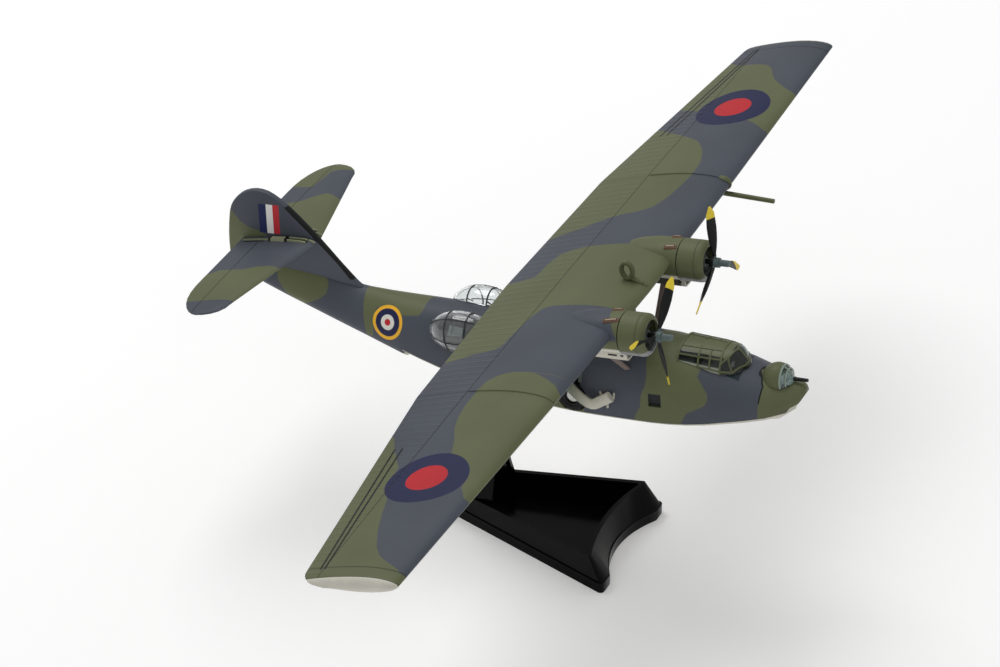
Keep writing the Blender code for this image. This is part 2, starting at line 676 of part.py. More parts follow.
def wing_section(offset):
    """The wing's section at a distance from the centreline, by straight tapers between its three chords."""
    reach = abs(offset)
    tip = WING_SPAN / 2 - WING_TIP_CAP
    if reach <= WING_JOINT:
        t = reach / WING_JOINT
        lead = WING_ROOT_LEADING_EDGE + WING_JOINT_SWEEP * t
        chord = WING_ROOT_CHORD + (WING_JOINT_CHORD - WING_ROOT_CHORD) * t
        ratio = WING_ROOT_THICKNESS
    else:
        t = (reach - WING_JOINT) / (tip - WING_JOINT)
        lead = WING_ROOT_LEADING_EDGE + WING_JOINT_SWEEP + (WING_TIP_SWEEP - WING_JOINT_SWEEP) * t
        chord = WING_JOINT_CHORD + (WING_TIP_CHORD - WING_JOINT_CHORD) * t
        ratio = WING_ROOT_THICKNESS + (WING_TIP_THICKNESS - WING_ROOT_THICKNESS) * t
    corner = min(1.0, max(0.0, (reach - tip) / WING_TIP_CORNER + 1))
    chord -= WING_TIP_CORNER * (1 - math.sqrt(1 - corner**2)) / 2
    return [(offset, y, z) for y, z in aerofoil(lead, chord, WING_HEIGHT, ratio, WING_INCIDENCE, WING_CAMBER)]


def wing_chord_height(station):
    """Height of the wing's chord line, which lies inside the wing between its edges."""
    return WING_HEIGHT - (station - WING_ROOT_LEADING_EDGE) * math.tan(WING_INCIDENCE)


def wing_upper_height(offset, station):
    """Height of the wing's upper surface at a place in plan."""
    ring = wing_section(offset)
    heights = []
    for (_, y0, z0), (_, y1, z1) in zip(ring, ring[1:] + ring[:1]):
        if (y0 - station) * (y1 - station) <= 0 and y1 != y0:
            heights.append(z0 + (z1 - z0) * (station - y0) / (y1 - y0))
    return max(heights)


def make_wing(aircraft):
    """The centre section, and on each side the outer panel with the float that forms its tip."""
    tip = WING_SPAN / 2 - WING_TIP_CAP
    centre = loft([wing_section(x) for x in spread(-WING_JOINT, WING_JOINT, WING_JOINT / 4)])
    centre = add_object("wing_centre", centre, "olive_paint", aircraft)
    for side, sign in SIDES.items():
        spans = spread(WING_JOINT + SEAM, tip - WING_TIP_CORNER, 10 * MM)
        spans += [tip - WING_TIP_CORNER * (1 - share) for share in (0.35, 0.6, 0.8, 0.92, 1.0)]
        add_object(f"wing_outer_{side}", loft([wing_section(sign * x) for x in spans]), "grey_paint", aircraft)
        make_tip_float(aircraft, side, sign, tip)
    return centre


def make_tip_float(aircraft, side, sign, tip, steps=6):
    """The drawn-up float that closes the wing's end, a little deeper than the wing."""
    section = wing_section(tip)
    front = min(y for _, y, _ in section)
    rear = max(y for _, y, _ in section)
    middle = (front + rear) / 2
    rings = []
    for k in range(steps + 1):
        angle = math.pi / 2 * k / steps
        across = tip + SEAM + (WING_TIP_CAP - SEAM) * math.sin(angle)
        shrink = max(math.cos(angle), 0.15)
        ring = []
        for _, y, z in section:
            line = wing_chord_height(y)
            full = 1 - ((y - middle) / (rear - middle)) ** 2
            deeper = FLOAT_DEPTH * full if z < line else 0.0
            level = line + (z - deeper - line) * shrink
            ring.append((sign * across, middle + (y - middle) * (0.5 + 0.5 * shrink), level))
        rings.append(ring)
    add_object(f"wing_float_{side}", loft(rings), "pale_paint", aircraft)


def make_pylon(aircraft, hull, wing, levels=7, sides=24):
    """The streamlined pylon that carries the wing above the hull."""
    middle = PYLON_FRONT + PYLON_LENGTH / 2
    foot = hull_value(1, middle) - PYLON_SINK
    rings = []
    for k in range(levels):
        t = k / (levels - 1)
        width = PYLON_WIDTH * (1.0 + (PYLON_FOOT_FLARE - 1.0) * (2 * t - 1) ** 4)
        ring = []
        for angle in circle(sides):
            station = middle + PYLON_LENGTH / 2 * math.cos(angle)
            taper = 1.0 - 0.35 * math.cos(angle) - 0.15 * math.cos(angle) ** 2
            height = foot + (wing_chord_height(station) - foot) * t
            ring.append((width / 2 * math.sin(angle) * taper, station, height))
        rings.append(ring)
    seat(add_object("wing_pylon", loft(rings), "olive_paint", aircraft), hull, wing)


def make_struts(aircraft, hull, wing):
    """Two streamlined struts on each side, from the hull's side up to the wing."""
    for side, sign in SIDES.items():
        for place, station in (("front", STRUT_FRONT_STATION), ("rear", STRUT_FRONT_STATION + STRUT_SPACING)):
            foot = hull_half_width(station, STRUT_FOOT_HEIGHT) - STRUT_FOOT_SINK
            low = Vector((sign * foot, station, STRUT_FOOT_HEIGHT))
            high = Vector((sign * STRUT_WING_OFFSET, station, wing_chord_height(station)))
            along = (high - low).normalized()
            rings = [bar_ring(end, along, Vector((0, 1, 0)), STRUT_CHORD / 2, STRUT_THICKNESS / 2, 14)
                     for end in (low, high)]
            strut = add_object(f"wing_strut_{place}_{side}", loft(rings), "grey_paint", aircraft)
            seat(strut, hull, wing)


def make_cowl(aircraft, side, axis):
    """A thin ring with a rounded lip."""
    back = COWL_FRONT + COWL_LENGTH
    lip = COWL_RADIUS - COWL_MOUTH_RADIUS
    profile = [(COWL_FRONT + lip * (1 - math.cos(a)), COWL_MOUTH_RADIUS + lip * math.sin(a))
               for a in (math.pi / 8 * k for k in range(5))]
    profile += [(back, COWL_RADIUS), (back, COWL_RADIUS - COWL_WALL), (COWL_FRONT + lip, COWL_RADIUS - COWL_WALL),
                (COWL_FRONT + COWL_MOUTH_DEPTH, COWL_MOUTH_RADIUS)]
    return add_object(f"cowl_{side}", turned_ring(profile, axis, 28), "olive_paint", aircraft)


def make_engine(aircraft, side, axis):
    """One ring of cylinders round a crankcase, bored for the propeller's shaft."""
    face = COWL_FRONT + ENGINE_SETBACK
    root = CRANKCASE_RADIUS + (ENGINE_RADIUS - CRANKCASE_RADIUS) * CYLINDER_ROOT_SHARE
    outline = []
    for angle in circle(ENGINE_CYLINDERS * 4):
        wave = 0.5 + 0.5 * math.cos(angle * ENGINE_CYLINDERS)
        radius = root + (ENGINE_RADIUS - root) * wave**0.6
        outline.append((axis[0] + radius * math.sin(angle), axis[2] + radius * math.cos(angle)))
    cylinders = plate(outline, face + CRANKCASE_PROUD, face + ENGINE_DEPTH, "Y")
    engine = add_object(f"engine_{side}", cylinders, "engine_grey", aircraft)
    back = COWL_FRONT + COWL_LENGTH - SEAM
    case = rod((axis[0], face - CRANKCASE_PROUD, axis[2]), (axis[0], back, axis[2]), CRANKCASE_RADIUS, sides=24)
    boolean(engine, add_cutter(f"crankcase_{side}", case, aircraft), "UNION")
    bore = rod((axis[0], face - 4 * CRANKCASE_PROUD, axis[2]), (axis[0], face + SHAFT_LENGTH, axis[2]),
               SHAFT_RADIUS + SHAFT_CLEARANCE, sides=20)
    boolean(engine, add_cutter(f"shaft_bore_{side}", bore, aircraft))


def make_nacelle(aircraft, side, axis, wing, steps=15, sides=28):
    """The nacelle behind the cowl: as round as the cowl in front, flat-sided where it fades into the wing."""
    start = COWL_FRONT + COWL_LENGTH + NACELLE_GAP
    above = [(0.0, 0.98), (0.15, 0.95), (0.35, 0.82), (0.5, 0.63), (0.65, 0.41), (0.8, 0.24), (1.0, 0.1)]
    below = [(0.0, 0.98), (0.25, 0.93), (0.5, 0.76), (0.8, 0.5), (1.0, 0.3)]
    half = [(0.0, 0.98), (0.2, 1.02), (0.4, 0.98), (0.6, 0.62), (0.8, 0.34), (1.0, 0.12)]
    square = [(0.0, 2.0), (0.3, 2.7), (1.0, 2.7)]
    rings = []
    for k in range(steps):
        t = k / (steps - 1)
        power = 2 / smooth_value(square, t)
        ring = []
        for angle in circle(sides):
            up = signed_power(math.cos(angle), power)
            reach = smooth_value(above if up > 0 else below, t)
            ring.append((axis[0] + COWL_RADIUS * smooth_value(half, t) * signed_power(math.sin(angle), power),
                         start + NACELLE_LENGTH * t, axis[2] + COWL_RADIUS * reach * up))
        rings.append(ring)
    nacelle = add_object(f"nacelle_{side}", loft(rings), "olive_paint", aircraft)
    seat(nacelle, wing)
    return nacelle


def rounded_box_outline(centre, half_width, half_height, sides=20, power=0.55):
    return [(centre[0] + half_width * signed_power(math.sin(a), power),
             centre[1] + half_height * signed_power(math.cos(a), power)) for a in circle(sides)]


def make_oil_cooler(aircraft, side, axis, nacelle, cowl):
    """The scoop under the nacelle, open in front."""
    centre = (axis[0], COOLER_BOTTOM + COOLER_HEIGHT / 2)
    rear = COOLER_FRONT + COOLER_LENGTH
    outline = rounded_box_outline(centre, COOLER_WIDTH / 2, COOLER_HEIGHT / 2)
    cooler = add_object(f"oil_cooler_{side}", plate(outline, COOLER_FRONT, rear, "Y"), "pale_paint", aircraft)
    mouth = rounded_box_outline(centre, COOLER_WIDTH / 2 - COOLER_LIP, COOLER_HEIGHT / 2 - COOLER_LIP)
    recess = plate(mouth, COOLER_FRONT - COOLER_MOUTH_DEPTH, COOLER_FRONT + COOLER_MOUTH_DEPTH, "Y")
    boolean(cooler, add_cutter(f"cooler_mouth_{side}", recess, aircraft))
    seat(cooler, nacelle, cowl)


def blade_ring(axis, angle, radius, chord, thickness, pitch):
    """One section of a blade that points away from the axis at an angle."""
    out = Vector((math.sin(angle), 0.0, math.cos(angle)))
    forward = Vector((0.0, -1.0, 0.0))
    side = out.cross(forward)
    flat = side * math.cos(pitch) + forward * math.sin(pitch)
    deep = forward * math.cos(pitch) - side * math.sin(pitch)
    centre = Vector((axis[0], PROPELLER_STATION, axis[2])) + out * radius
    return [centre + flat * (chord / 2 * math.cos(a)) + deep * (thickness / 2 * math.sin(a)) for a in circle(8)]


def make_propeller(aircraft, side, axis, steps=9):
    """Three blades moulded with their hub, the gear case ahead of it and the shaft behind."""
    front = PROPELLER_STATION - HUB_LENGTH / 2
    back = PROPELLER_STATION + HUB_LENGTH / 2
    nose = front - GEAR_CASE_LENGTH
    shaft_end = COWL_FRONT + ENGINE_SETBACK - CRANKCASE_PROUD + SHAFT_LENGTH
    profile = [(nose, 0.0), (nose, GEAR_CASE_RADIUS * 0.8), (front - GEAR_CASE_LENGTH * 0.85, GEAR_CASE_RADIUS),
               (front, GEAR_CASE_RADIUS), (front, HUB_RADIUS), (back, HUB_RADIUS), (back, SHAFT_RADIUS),
               (shaft_end, SHAFT_RADIUS), (shaft_end, 0.0)]
    propeller = add_object(f"propeller_{side}", turned_solid(profile, axis), "black_paint", aircraft)
    widths = [(0.0, 0.3), (0.12, 0.34), (0.3, 0.7), (0.5, 0.9), (0.7, 1.0), (0.9, 0.98), (0.97, 0.7), (1.0, 0.3)]
    depths = [(0.0, 1.3), (0.15, 1.2), (0.4, 0.9), (1.0, 0.55)]
    first = HUB_RADIUS * 0.4
    for k in range(PROPELLER_BLADES):
        angle = PROPELLER_ANGLE[side] - 2 * math.pi * k / PROPELLER_BLADES
        rings = []
        for i in range(steps):
            t = i / (steps - 1)
            rings.append(blade_ring(axis, angle, first + (PROPELLER_RADIUS - first) * t,
                                    BLADE_CHORD * smooth_value(widths, t), BLADE_THICKNESS * smooth_value(depths, t),
                                    math.radians(smooth_value(BLADE_PITCHES, t))))
        boolean(propeller, add_cutter(f"blade_{k + 1}_{side}", loft(rings), aircraft), "UNION")


def make_power_unit(aircraft, side, sign, wing):
    axis = (sign * ENGINE_OFFSET, 0.0, THRUST_HEIGHT)
    cowl = make_cowl(aircraft, side, axis)
    make_engine(aircraft, side, axis)
    nacelle = make_nacelle(aircraft, side, axis, wing)
    make_oil_cooler(aircraft, side, axis, nacelle, cowl)
    make_propeller(aircraft, side, axis)


def tailplane_edges(offset):
    """Stations of the tailplane's leading and trailing edges at a distance from the centreline."""
    half = TAILPLANE_SPAN / 2

    def rounding(start):
        share = min(1.0, max(0.0, (offset - half + start) / start))
        return math.sqrt(1 - share**2)
    straight = TAILPLANE_FRONT + TAILPLANE_SWEEP * min(offset, half - TAILPLANE_FRONT_ROUND)
    lead = TAILPLANE_TIP_STATION - (TAILPLANE_TIP_STATION - straight) * rounding(TAILPLANE_FRONT_ROUND)
    trail = TAILPLANE_TIP_STATION + (TAILPLANE_REAR - TAILPLANE_TIP_STATION) * rounding(TAILPLANE_REAR_ROUND)
    return lead, trail


def make_tail(aircraft, hull, steps=14):
    """The fin with its rudder, and the tailplane with its elevator on each side."""
    aft = HULL_LENGTH - HULL_STATIONS[-1][0] * MM
    edge_line = smooth_route([(0.0, y * MM + aft, z * MM) for y, z in FIN_OUTLINE], steps=2)
    shape = plate([(place.y, place.z) for place in edge_line], -FIN_THICKNESS / 2, FIN_THICKNESS / 2)
    fin = add_object("tail_fin", shape, "grey_paint", aircraft)
    edge = fin.modifiers.new("rounded edge", "BEVEL")
    edge.width = FIN_THICKNESS * 0.32
    edge.segments = 2
    seat(fin, hull)
    root = FIN_THICKNESS / 2 + SEAM
    half = TAILPLANE_SPAN / 2
    for side, sign in SIDES.items():
        rings = []
        for k in range(steps):
            offset = root + (half - 0.02 * MM - root) * math.sin(math.pi / 2 * k / (steps - 1))
            lead, trail = tailplane_edges(offset)
            height = TAILPLANE_HEIGHT - (lead - TAILPLANE_FRONT) * math.tan(TAILPLANE_SET)
            section = aerofoil(lead, trail - lead, height, TAILPLANE_THICKNESS, TAILPLANE_SET, camber=0.0, points=8)
            rings.append([(sign * offset, y + aft, z) for y, z in section])
        add_object(f"tailplane_{side}", loft(rings), "olive_paint", aircraft)


def make_aerial_ring(aircraft, wing, steps=20, sides=8):
    """The upright loop on the centreline, with the rib that runs forward from it over the wing's nose."""
    centre = Vector((0.0, AERIAL_RING_STATION, wing_upper_height(0.0, AERIAL_RING_STATION) + AERIAL_RING_LIFT))
    shape = bmesh.new()
    rows = []
    for angle in circle(steps):
        out = Vector((0.0, math.cos(angle), math.sin(angle)))
        rows.append([shape.verts.new(centre + out * (AERIAL_RING_RADIUS + AERIAL_RING_WIRE * math.cos(a))
                                     + Vector((AERIAL_RING_WIRE * math.sin(a), 0.0, 0.0))) for a in circle(sides)])
    join_rings(shape, rows, closed_rows=True)
    ring = add_object("aerial_ring", shape, "olive_paint", aircraft)
    first = WING_ROOT_LEADING_EDGE + AERIAL_RIB_RADIUS
    route = [(0.0, s, wing_upper_height(0.0, s)) for s in spread(first, AERIAL_RING_STATION, 1.5 * MM)]
    rib = bent_bar(route, AERIAL_RIB_RADIUS, AERIAL_RIB_RADIUS, sides)
    boolean(ring, add_cutter("aerial_rib", rib, aircraft), "UNION")
    seat(ring, wing)


def make_pitot(aircraft, wing):
    """The pitot tube under the port leading edge, hung from a saddle at the wing's joint."""
    lead = min(wing_section(WING_JOINT), key=lambda point: point[1])
    saddle_centre = (WING_JOINT, lead[1] + PITOT_SADDLE_RADII[1] * 0.9, lead[2])
    saddle = add_object("pitot_boom", ellipsoid(saddle_centre, PITOT_SADDLE_RADII), "olive_paint", aircraft)
    rear = Vector((WING_JOINT, lead[1] + PITOT_SADDLE_RADII[1], lead[2] - PITOT_DROP))
    front = rear + Vector((0.0, -PITOT_LENGTH, -PITOT_SLOPE))
    tube = rod(rear, front, PITOT_RADIUS, PITOT_RADIUS * 0.9)
    boolean(saddle, add_cutter("pitot_tube", tube, aircraft), "UNION")
    post = rod(rear, (WING_JOINT, rear.y, lead[2]), PITOT_RADIUS * 1.2)
    boolean(saddle, add_cutter("pitot_post", post, aircraft), "UNION")
    seat(saddle, wing, bpy.data.objects["wing_outer_port"])


def stand_half_width(station):
    t = (station + STAND_LENGTH / 2) / STAND_LENGTH
    return (STAND_FRONT_WIDTH + (STAND_REAR_WIDTH - STAND_FRONT_WIDTH) * t) / 2


def stand_outline(inset, front, hollow, foot, corner_radius, steps=12, corner_steps=3):
    """The stand's plan at one level: straight sides, rounded front corners and a front hollowed between them."""
    rear = STAND_LENGTH / 2 - inset
    reach = stand_half_width(front) - inset
    inner = reach - foot
    half = []
    for k in range(steps // 2 + 1):
        across = inner * 2 * k / steps
        half.append((across, front + hollow * (1 - (across / inner) ** 2)))
    for k in range(corner_steps + 1):
        angle = math.pi / 2 * k / corner_steps
        half.append((reach - corner_radius * (1 - math.sin(angle)), front + corner_radius * (1 - math.cos(angle))))
    half.append((stand_half_width(rear) - inset, rear))
    return half + [(-x, y) for x, y in reversed(half[1:])]


def make_stand(parent):
    """A tapered tray with a scooped, sloping front, standing on a low foot."""
    front = -STAND_LENGTH / 2

    def rim(station):
        t = (station + STAND_LENGTH / 2) / STAND_LENGTH
        return STAND_FRONT_HEIGHT + (STAND_REAR_HEIGHT - STAND_FRONT_HEIGHT) * t

    at_foot = (STAND_FOOT_HOLLOW, STAND_FOOT_WIDTH, STAND_CORNER_RADIUS)
    at_rim = (STAND_RIM_HOLLOW, STAND_RIM_CORNER_WIDTH, STAND_RIM_CORNER_RADIUS)
    side = STAND_FOOT_STEP + STAND_WALL_DRAFT
    back_of_rim = front + STAND_FRONT_SLOPE + STAND_WALL
    levels = [
        (0.0, front, at_foot, 0.0),
        (0.0, front, at_foot, STAND_FOOT_HEIGHT),
        (STAND_FOOT_STEP, front + STAND_FOOT_STEP, at_foot, STAND_FOOT_HEIGHT),
        (side, front + STAND_FRONT_SLOPE, at_rim, None),
        (side + STAND_WALL, back_of_rim, at_rim, None),
        (side + STAND_WALL * 1.5, back_of_rim, at_rim, STAND_FLOOR),
    ]
    rings = []
    for inset, start, shape, height in levels:
        outline = stand_outline(inset, start, *shape)
        rings.append([(x, y, rim(y) if height is None else height) for x, y in outline])
    return add_object("stand_base", loft(rings), "black_plastic", parent)


def on_stand(station, height):
    """A place on the aircraft's centreline as (y, z) in the stand's axes."""
    return (station * math.cos(NOSE_UP) + height * math.sin(NOSE_UP) - BOW_AHEAD_OF_ORIGIN,
            height * math.cos(NOSE_UP) - station * math.sin(NOSE_UP) + BOW_DATUM_HEIGHT)


def make_stand_arm(parent, steps=12):
    """The arm that rises from the tray, flared at its foot, and goes up into the hull."""
    foot = STAND_LENGTH / 2 - ARM_SETBACK
    station = (foot + BOW_AHEAD_OF_ORIGIN) / math.cos(NOSE_UP)
    low = STAND_FLOOR + SEAM
    high = on_stand(station, (hull_value(2, station) + hull_value(3, station)) / 2)[1]
    widths = [(share, stand_half_width(foot) * part) for share, part in ARM_FOOT_SHARES]
    widths += [(share, half * MM) for share, half in ARM_HALF_WIDTHS]
    rings = []
    for k in range(steps):
        t = k / (steps - 1)
        half = smooth_value(widths, t)
        centre = foot + ARM_LEAN * t
        front = centre - ARM_THICKNESS / 2
        back = centre + ARM_THICKNESS / 2
        recess = half - ARM_RIM
        outline = [(-half, front), (-recess, front), (-recess, front + ARM_RECESS), (recess, front + ARM_RECESS),
                   (recess, front), (half, front), (half, back), (-half, back)]
        rings.append([(x, y, low + (high - low) * t) for x, y in outline])
    return add_object("stand_arm", loft(rings), "black_plastic", parent)


def main():
    for item in list(bpy.data.objects):
        bpy.data.objects.remove(item)
    aircraft = bpy.data.objects.new("aircraft_axes", None)
    bpy.context.scene.collection.objects.link(aircraft)
    aircraft.rotation_euler = (-NOSE_UP, 0.0, 0.0)
    aircraft.location = (0.0, -BOW_AHEAD_OF_ORIGIN, BOW_DATUM_HEIGHT)
    bpy.context.view_layer.update()

    hull = make_hull(aircraft)
    bottom = make_hull_bottom(aircraft)
    make_canopy(aircraft, hull)
    make_turret(aircraft, hull)
    make_blisters(aircraft, hull)
    make_side_windows(aircraft, hull)
    make_landing_gear(aircraft, hull, bottom)
    wing = make_wing(aircraft)
    make_pylon(aircraft, hull, wing)
    make_struts(aircraft, hull, wing)
    for side, sign in SIDES.items():
        make_power_unit(aircraft, side, sign, wing)
    make_tail(aircraft, hull)
    make_aerial_ring(aircraft, wing)
    make_pitot(aircraft, wing)
    seat(make_stand_arm(None), make_stand(None), hull, bottom)


main()
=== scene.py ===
# %% [markdown]
# A painted display model of a flying boat
#
# The real object is a small die-cast and plastic model, 211 mm across, on a black stand. Its solids come
# ready-made from the CAD step. This lesson dresses them: it paints the solids that already have the right
# shape, replaces the ones that need finer detail, and lights the result like a catalogue photograph.

# %% Load the solids
import math

import bmesh
import bpy
from mathutils import Matrix, Vector
from mathutils.bvhtree import BVHTree


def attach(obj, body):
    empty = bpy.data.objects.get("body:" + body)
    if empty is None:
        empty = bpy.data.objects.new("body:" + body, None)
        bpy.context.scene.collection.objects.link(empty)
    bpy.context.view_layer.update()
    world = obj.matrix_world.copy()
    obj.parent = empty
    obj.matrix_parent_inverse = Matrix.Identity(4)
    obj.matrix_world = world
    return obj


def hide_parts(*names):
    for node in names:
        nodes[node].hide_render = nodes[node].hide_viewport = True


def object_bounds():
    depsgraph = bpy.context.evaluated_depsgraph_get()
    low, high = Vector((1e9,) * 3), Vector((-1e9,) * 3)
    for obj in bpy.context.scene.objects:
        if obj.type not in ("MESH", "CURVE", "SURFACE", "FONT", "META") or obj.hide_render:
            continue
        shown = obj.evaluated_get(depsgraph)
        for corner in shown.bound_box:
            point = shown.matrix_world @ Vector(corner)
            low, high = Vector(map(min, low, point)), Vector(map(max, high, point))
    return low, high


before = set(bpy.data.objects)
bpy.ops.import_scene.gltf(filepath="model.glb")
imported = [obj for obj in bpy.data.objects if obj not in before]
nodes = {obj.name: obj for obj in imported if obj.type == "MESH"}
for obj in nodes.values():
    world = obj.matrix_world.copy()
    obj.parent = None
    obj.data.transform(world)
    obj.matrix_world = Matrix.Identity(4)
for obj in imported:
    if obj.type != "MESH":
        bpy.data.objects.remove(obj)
solid_box = [list(corner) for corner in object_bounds()]
box_in_mm = [[round(value * 1000, 1) for value in corner] for corner in solid_box]
print("solids:", len(nodes), "box in mm:", box_in_mm)

# %% [markdown]
# Two sets of axes
#
# The model is tilted nose-up on its stand, so its panel lines and paint edges aren't square to the world.
# It is easier to think in the aircraft's own axes, in millimetres: X to port, Y aft from the bow, Z up. One
# matrix takes those millimetres to the world. The same turn, undone, goes into each paint's Mapping node.

# %% Aircraft axes
MM = 0.001
NOSE_UP = math.radians(9.7)
BOW_AHEAD = 59.0
BOW_HEIGHT = 44.3
AIRCRAFT = (Matrix.Translation((0, -BOW_AHEAD * MM, BOW_HEIGHT * MM))
            @ Matrix.Rotation(-NOSE_UP, 4, "X") @ Matrix.Scale(MM, 4))
TO_AIRCRAFT = AIRCRAFT.inverted()
SIDES = {"port": 1, "starboard": -1}
print("bow in the world, mm:", [round(v * 1000, 1) for v in AIRCRAFT @ Vector((0, 0, 0))])

# %% [markdown]
# The camera
#
# The photograph was taken from the starboard bow, from about 35 degrees above. The place and focal length
# were solved from landmarks whose sizes are known, so the render can be laid over the photograph.

# %% Camera
scene = bpy.context.scene
CAMERA_PLACE = Vector((-0.5530, -0.2588, 0.4797))
CAMERA_RIGHT = Vector((0.43728, -0.89933, 0.0)).normalized()
CAMERA_FORWARD = Vector((0.73516, 0.35745, -0.57599)).normalized()
FOCAL_LENGTH = 131.87
SENSOR_WIDTH = 36.0
camera_up = CAMERA_RIGHT.cross(CAMERA_FORWARD)
lens = bpy.data.cameras.new("camera")
lens.lens = FOCAL_LENGTH
lens.sensor_width = SENSOR_WIDTH
lens.sensor_fit = "HORIZONTAL"
lens.clip_start = 0.01
camera = bpy.data.objects.new("camera", lens)
camera.matrix_world = Matrix.Translation(CAMERA_PLACE) @ Matrix(
    (CAMERA_RIGHT, camera_up, -CAMERA_FORWARD)).transposed().to_4x4()
scene.collection.objects.link(camera)
scene.camera = camera
print("camera distance, mm:", round(CAMERA_PLACE.length * 1000))

# %% [markdown]
# Three small helpers
#
# Colours are written as the hex codes that a colour picker shows. Shaders want linear light, so one
# function turns them. Every material here is a node tree built in code, and one function adds a node with
# its settings and its links. A third starts a material with no nodes.


# %% Small helpers for colours and nodes
def shade(code):
    """An sRGB hex colour as the linear values that Blender's shaders work in."""
    parts = [int(code[i:i + 2], 16) / 255 for i in (1, 3, 5)]
    return tuple(p / 12.92 if p <= 0.04045 else ((p + 0.055) / 1.055) ** 2.4 for p in parts) + (1.0,)


def add(tree, kind, *inputs, sockets=None, **settings):
    """Add one node. Its inputs, in order or by name, are values, sockets or other nodes."""
    made = tree.nodes.new(kind)
    for name, value in settings.items():
        setattr(made, name, value)
    shown = [socket for socket in made.inputs if socket.enabled]
    pairs = list(zip(shown, inputs))
    pairs += [(next(s for s in shown if s.name == name), value) for name, value in (sockets or {}).items()]
    for socket, value in pairs:
        if isinstance(value, bpy.types.Node):
            value = next(out for out in value.outputs if out.enabled)
        if isinstance(value, bpy.types.NodeSocket):
            tree.links.new(value, socket)
        elif value is not None:
            socket.default_value = value
    return made


def empty_material(name):
    """A material with no nodes yet, and its node tree."""
    material = bpy.data.materials.new(name)
    material.use_nodes = True
    material.node_tree.nodes.clear()
    return material, material.node_tree


# %% [markdown]
# Light and floor
#
# The photograph is a cut-out on white, lit by a large soft source above and behind the tail. Surfaces that
# face the camera are darker than the tops, and the trailing slopes of the wing catch more light than its
# front edge. A white floor, an even grey-white world, one big overhead light and a weak fill at the bow
# give that. The photograph's colours are plain display colours, so the view transform is Standard.

# %% Lights, world and floor
LIGHTS = (
    ("overhead_softbox", (0.25, 0.45, 1.0), (0, 0, 0.05), 0.8, 5.6),
    ("bow_softbox", (-0.75, -0.75, 0.75), (0, -0.02, 0.05), 0.6, 0.9),
)
SKY_STRENGTH = 0.5
FLOOR_HALF_SIZE = 6.0
PAPER_GRAIN = 900.0
PAPER_GLOW = 0.13


def area_light(name, place, target, size, watts):
    light = bpy.data.lights.new(name, "AREA")
    light.shape = "DISK"
    light.size = size
    light.energy = watts
    lamp = bpy.data.objects.new(name, light)
    lamp.location = place
    lamp.rotation_euler = (Vector(target) - Vector(place)).to_track_quat("-Z", "Y").to_euler()
    scene.collection.objects.link(lamp)


for light in LIGHTS:
    area_light(*light)

world = bpy.data.worlds.new("soft_white_studio")
world.use_nodes = True
world.node_tree.nodes.clear()
sky = add(world.node_tree, "ShaderNodeBackground", shade("#FFFFFF"), SKY_STRENGTH)
add(world.node_tree, "ShaderNodeOutputWorld", sky)
scene.world = world
scene.view_settings.view_transform = "Standard"

floor_mesh = bmesh.new()
bmesh.ops.create_grid(floor_mesh, x_segments=1, y_segments=1, size=FLOOR_HALF_SIZE)
floor_data = bpy.data.meshes.new("floor")
floor_mesh.to_mesh(floor_data)
floor_mesh.free()
floor = bpy.data.objects.new("floor", floor_data)
scene.collection.objects.link(floor)
paper, tree = empty_material("white_paper_sweep")
coordinates = add(tree, "ShaderNodeTexCoord")
grain = add(tree, "ShaderNodeTexNoise", sockets={
    "Vector": coordinates.outputs["Object"], "Scale": PAPER_GRAIN})
bump = add(tree, "ShaderNodeBump", sockets={"Strength": 0.1, "Distance": 0.1 * MM, "Height": grain})
shader = add(tree, "ShaderNodeBsdfPrincipled", sockets={
    "Base Color": shade("#FAFAFA"), "Roughness": 0.9, "Specular IOR Level": 0.1, "Normal": bump,
    "Emission Color": shade("#FFFFFF"), "Emission Strength": PAPER_GLOW})
add(tree, "ShaderNodeOutputMaterial", shader)
floor_data.materials.append(paper)
print("lights:", [light[0] for light in LIGHTS])

# %% [markdown]
# Reading a place on the aircraft inside a paint
#
# Every paint starts the same way: Object coordinates, turned into the aircraft's millimetres. The
# camouflage edges were traced as lists of points. A Float Curve node turns such a list into a line that a
# mask can follow. A mask is 1 where a colour shows. Masks are joined with all_of and any_of, and paint_over
# lays one colour over another as masking and spraying does.

# %% Paint helpers
OLIVE = shade("#5E6346")
SLATE = shade("#484D56")
PALE = shade("#CBC8BC")


def aircraft_place(tree):
    """The point being painted, in the aircraft's millimetres, and its three parts."""
    coordinates = add(tree, "ShaderNodeTexCoord")
    shift = TO_AIRCRAFT @ Vector((0, 0, 0))
    place = add(tree, "ShaderNodeMapping", coordinates.outputs["Object"], shift, (NOSE_UP, 0, 0), (1000,) * 3,
                vector_type="POINT")
    parts = add(tree, "ShaderNodeSeparateXYZ", place)
    return place, parts.outputs["X"], parts.outputs["Y"], parts.outputs["Z"]


def line_through(tree, along, points):
    """The height of a traced line above each place along it, from a list of (along, height) points."""
    low, high = points[0][0], points[-1][0]
    least = min(height for _, height in points)
    most = max(height for _, height in points)
    share = add(tree, "ShaderNodeMapRange", along, low, high)
    curve = add(tree, "ShaderNodeFloatCurve", sockets={"Value": share})
    dots = curve.mapping.curves[0].points
    while len(dots) < len(points):
        dots.new(0.5, 0.5)
    for dot, (across, height) in zip(dots, points):
        dot.location = ((across - low) / (high - low), (height - least) / (most - least))
        dot.handle_type = "VECTOR"
    curve.mapping.update()
    return add(tree, "ShaderNodeMapRange", curve, 0.0, 1.0, least, most)


def below(tree, value, limit, soft=0.3):
    """1 where a value is below a limit and 0 above it, with an edge some tenths of a millimetre soft."""
    gap = add(tree, "ShaderNodeMath", limit, value, operation="SUBTRACT")
    return add(tree, "ShaderNodeMapRange", gap, -soft / 2, soft / 2, interpolation_type="SMOOTHSTEP")


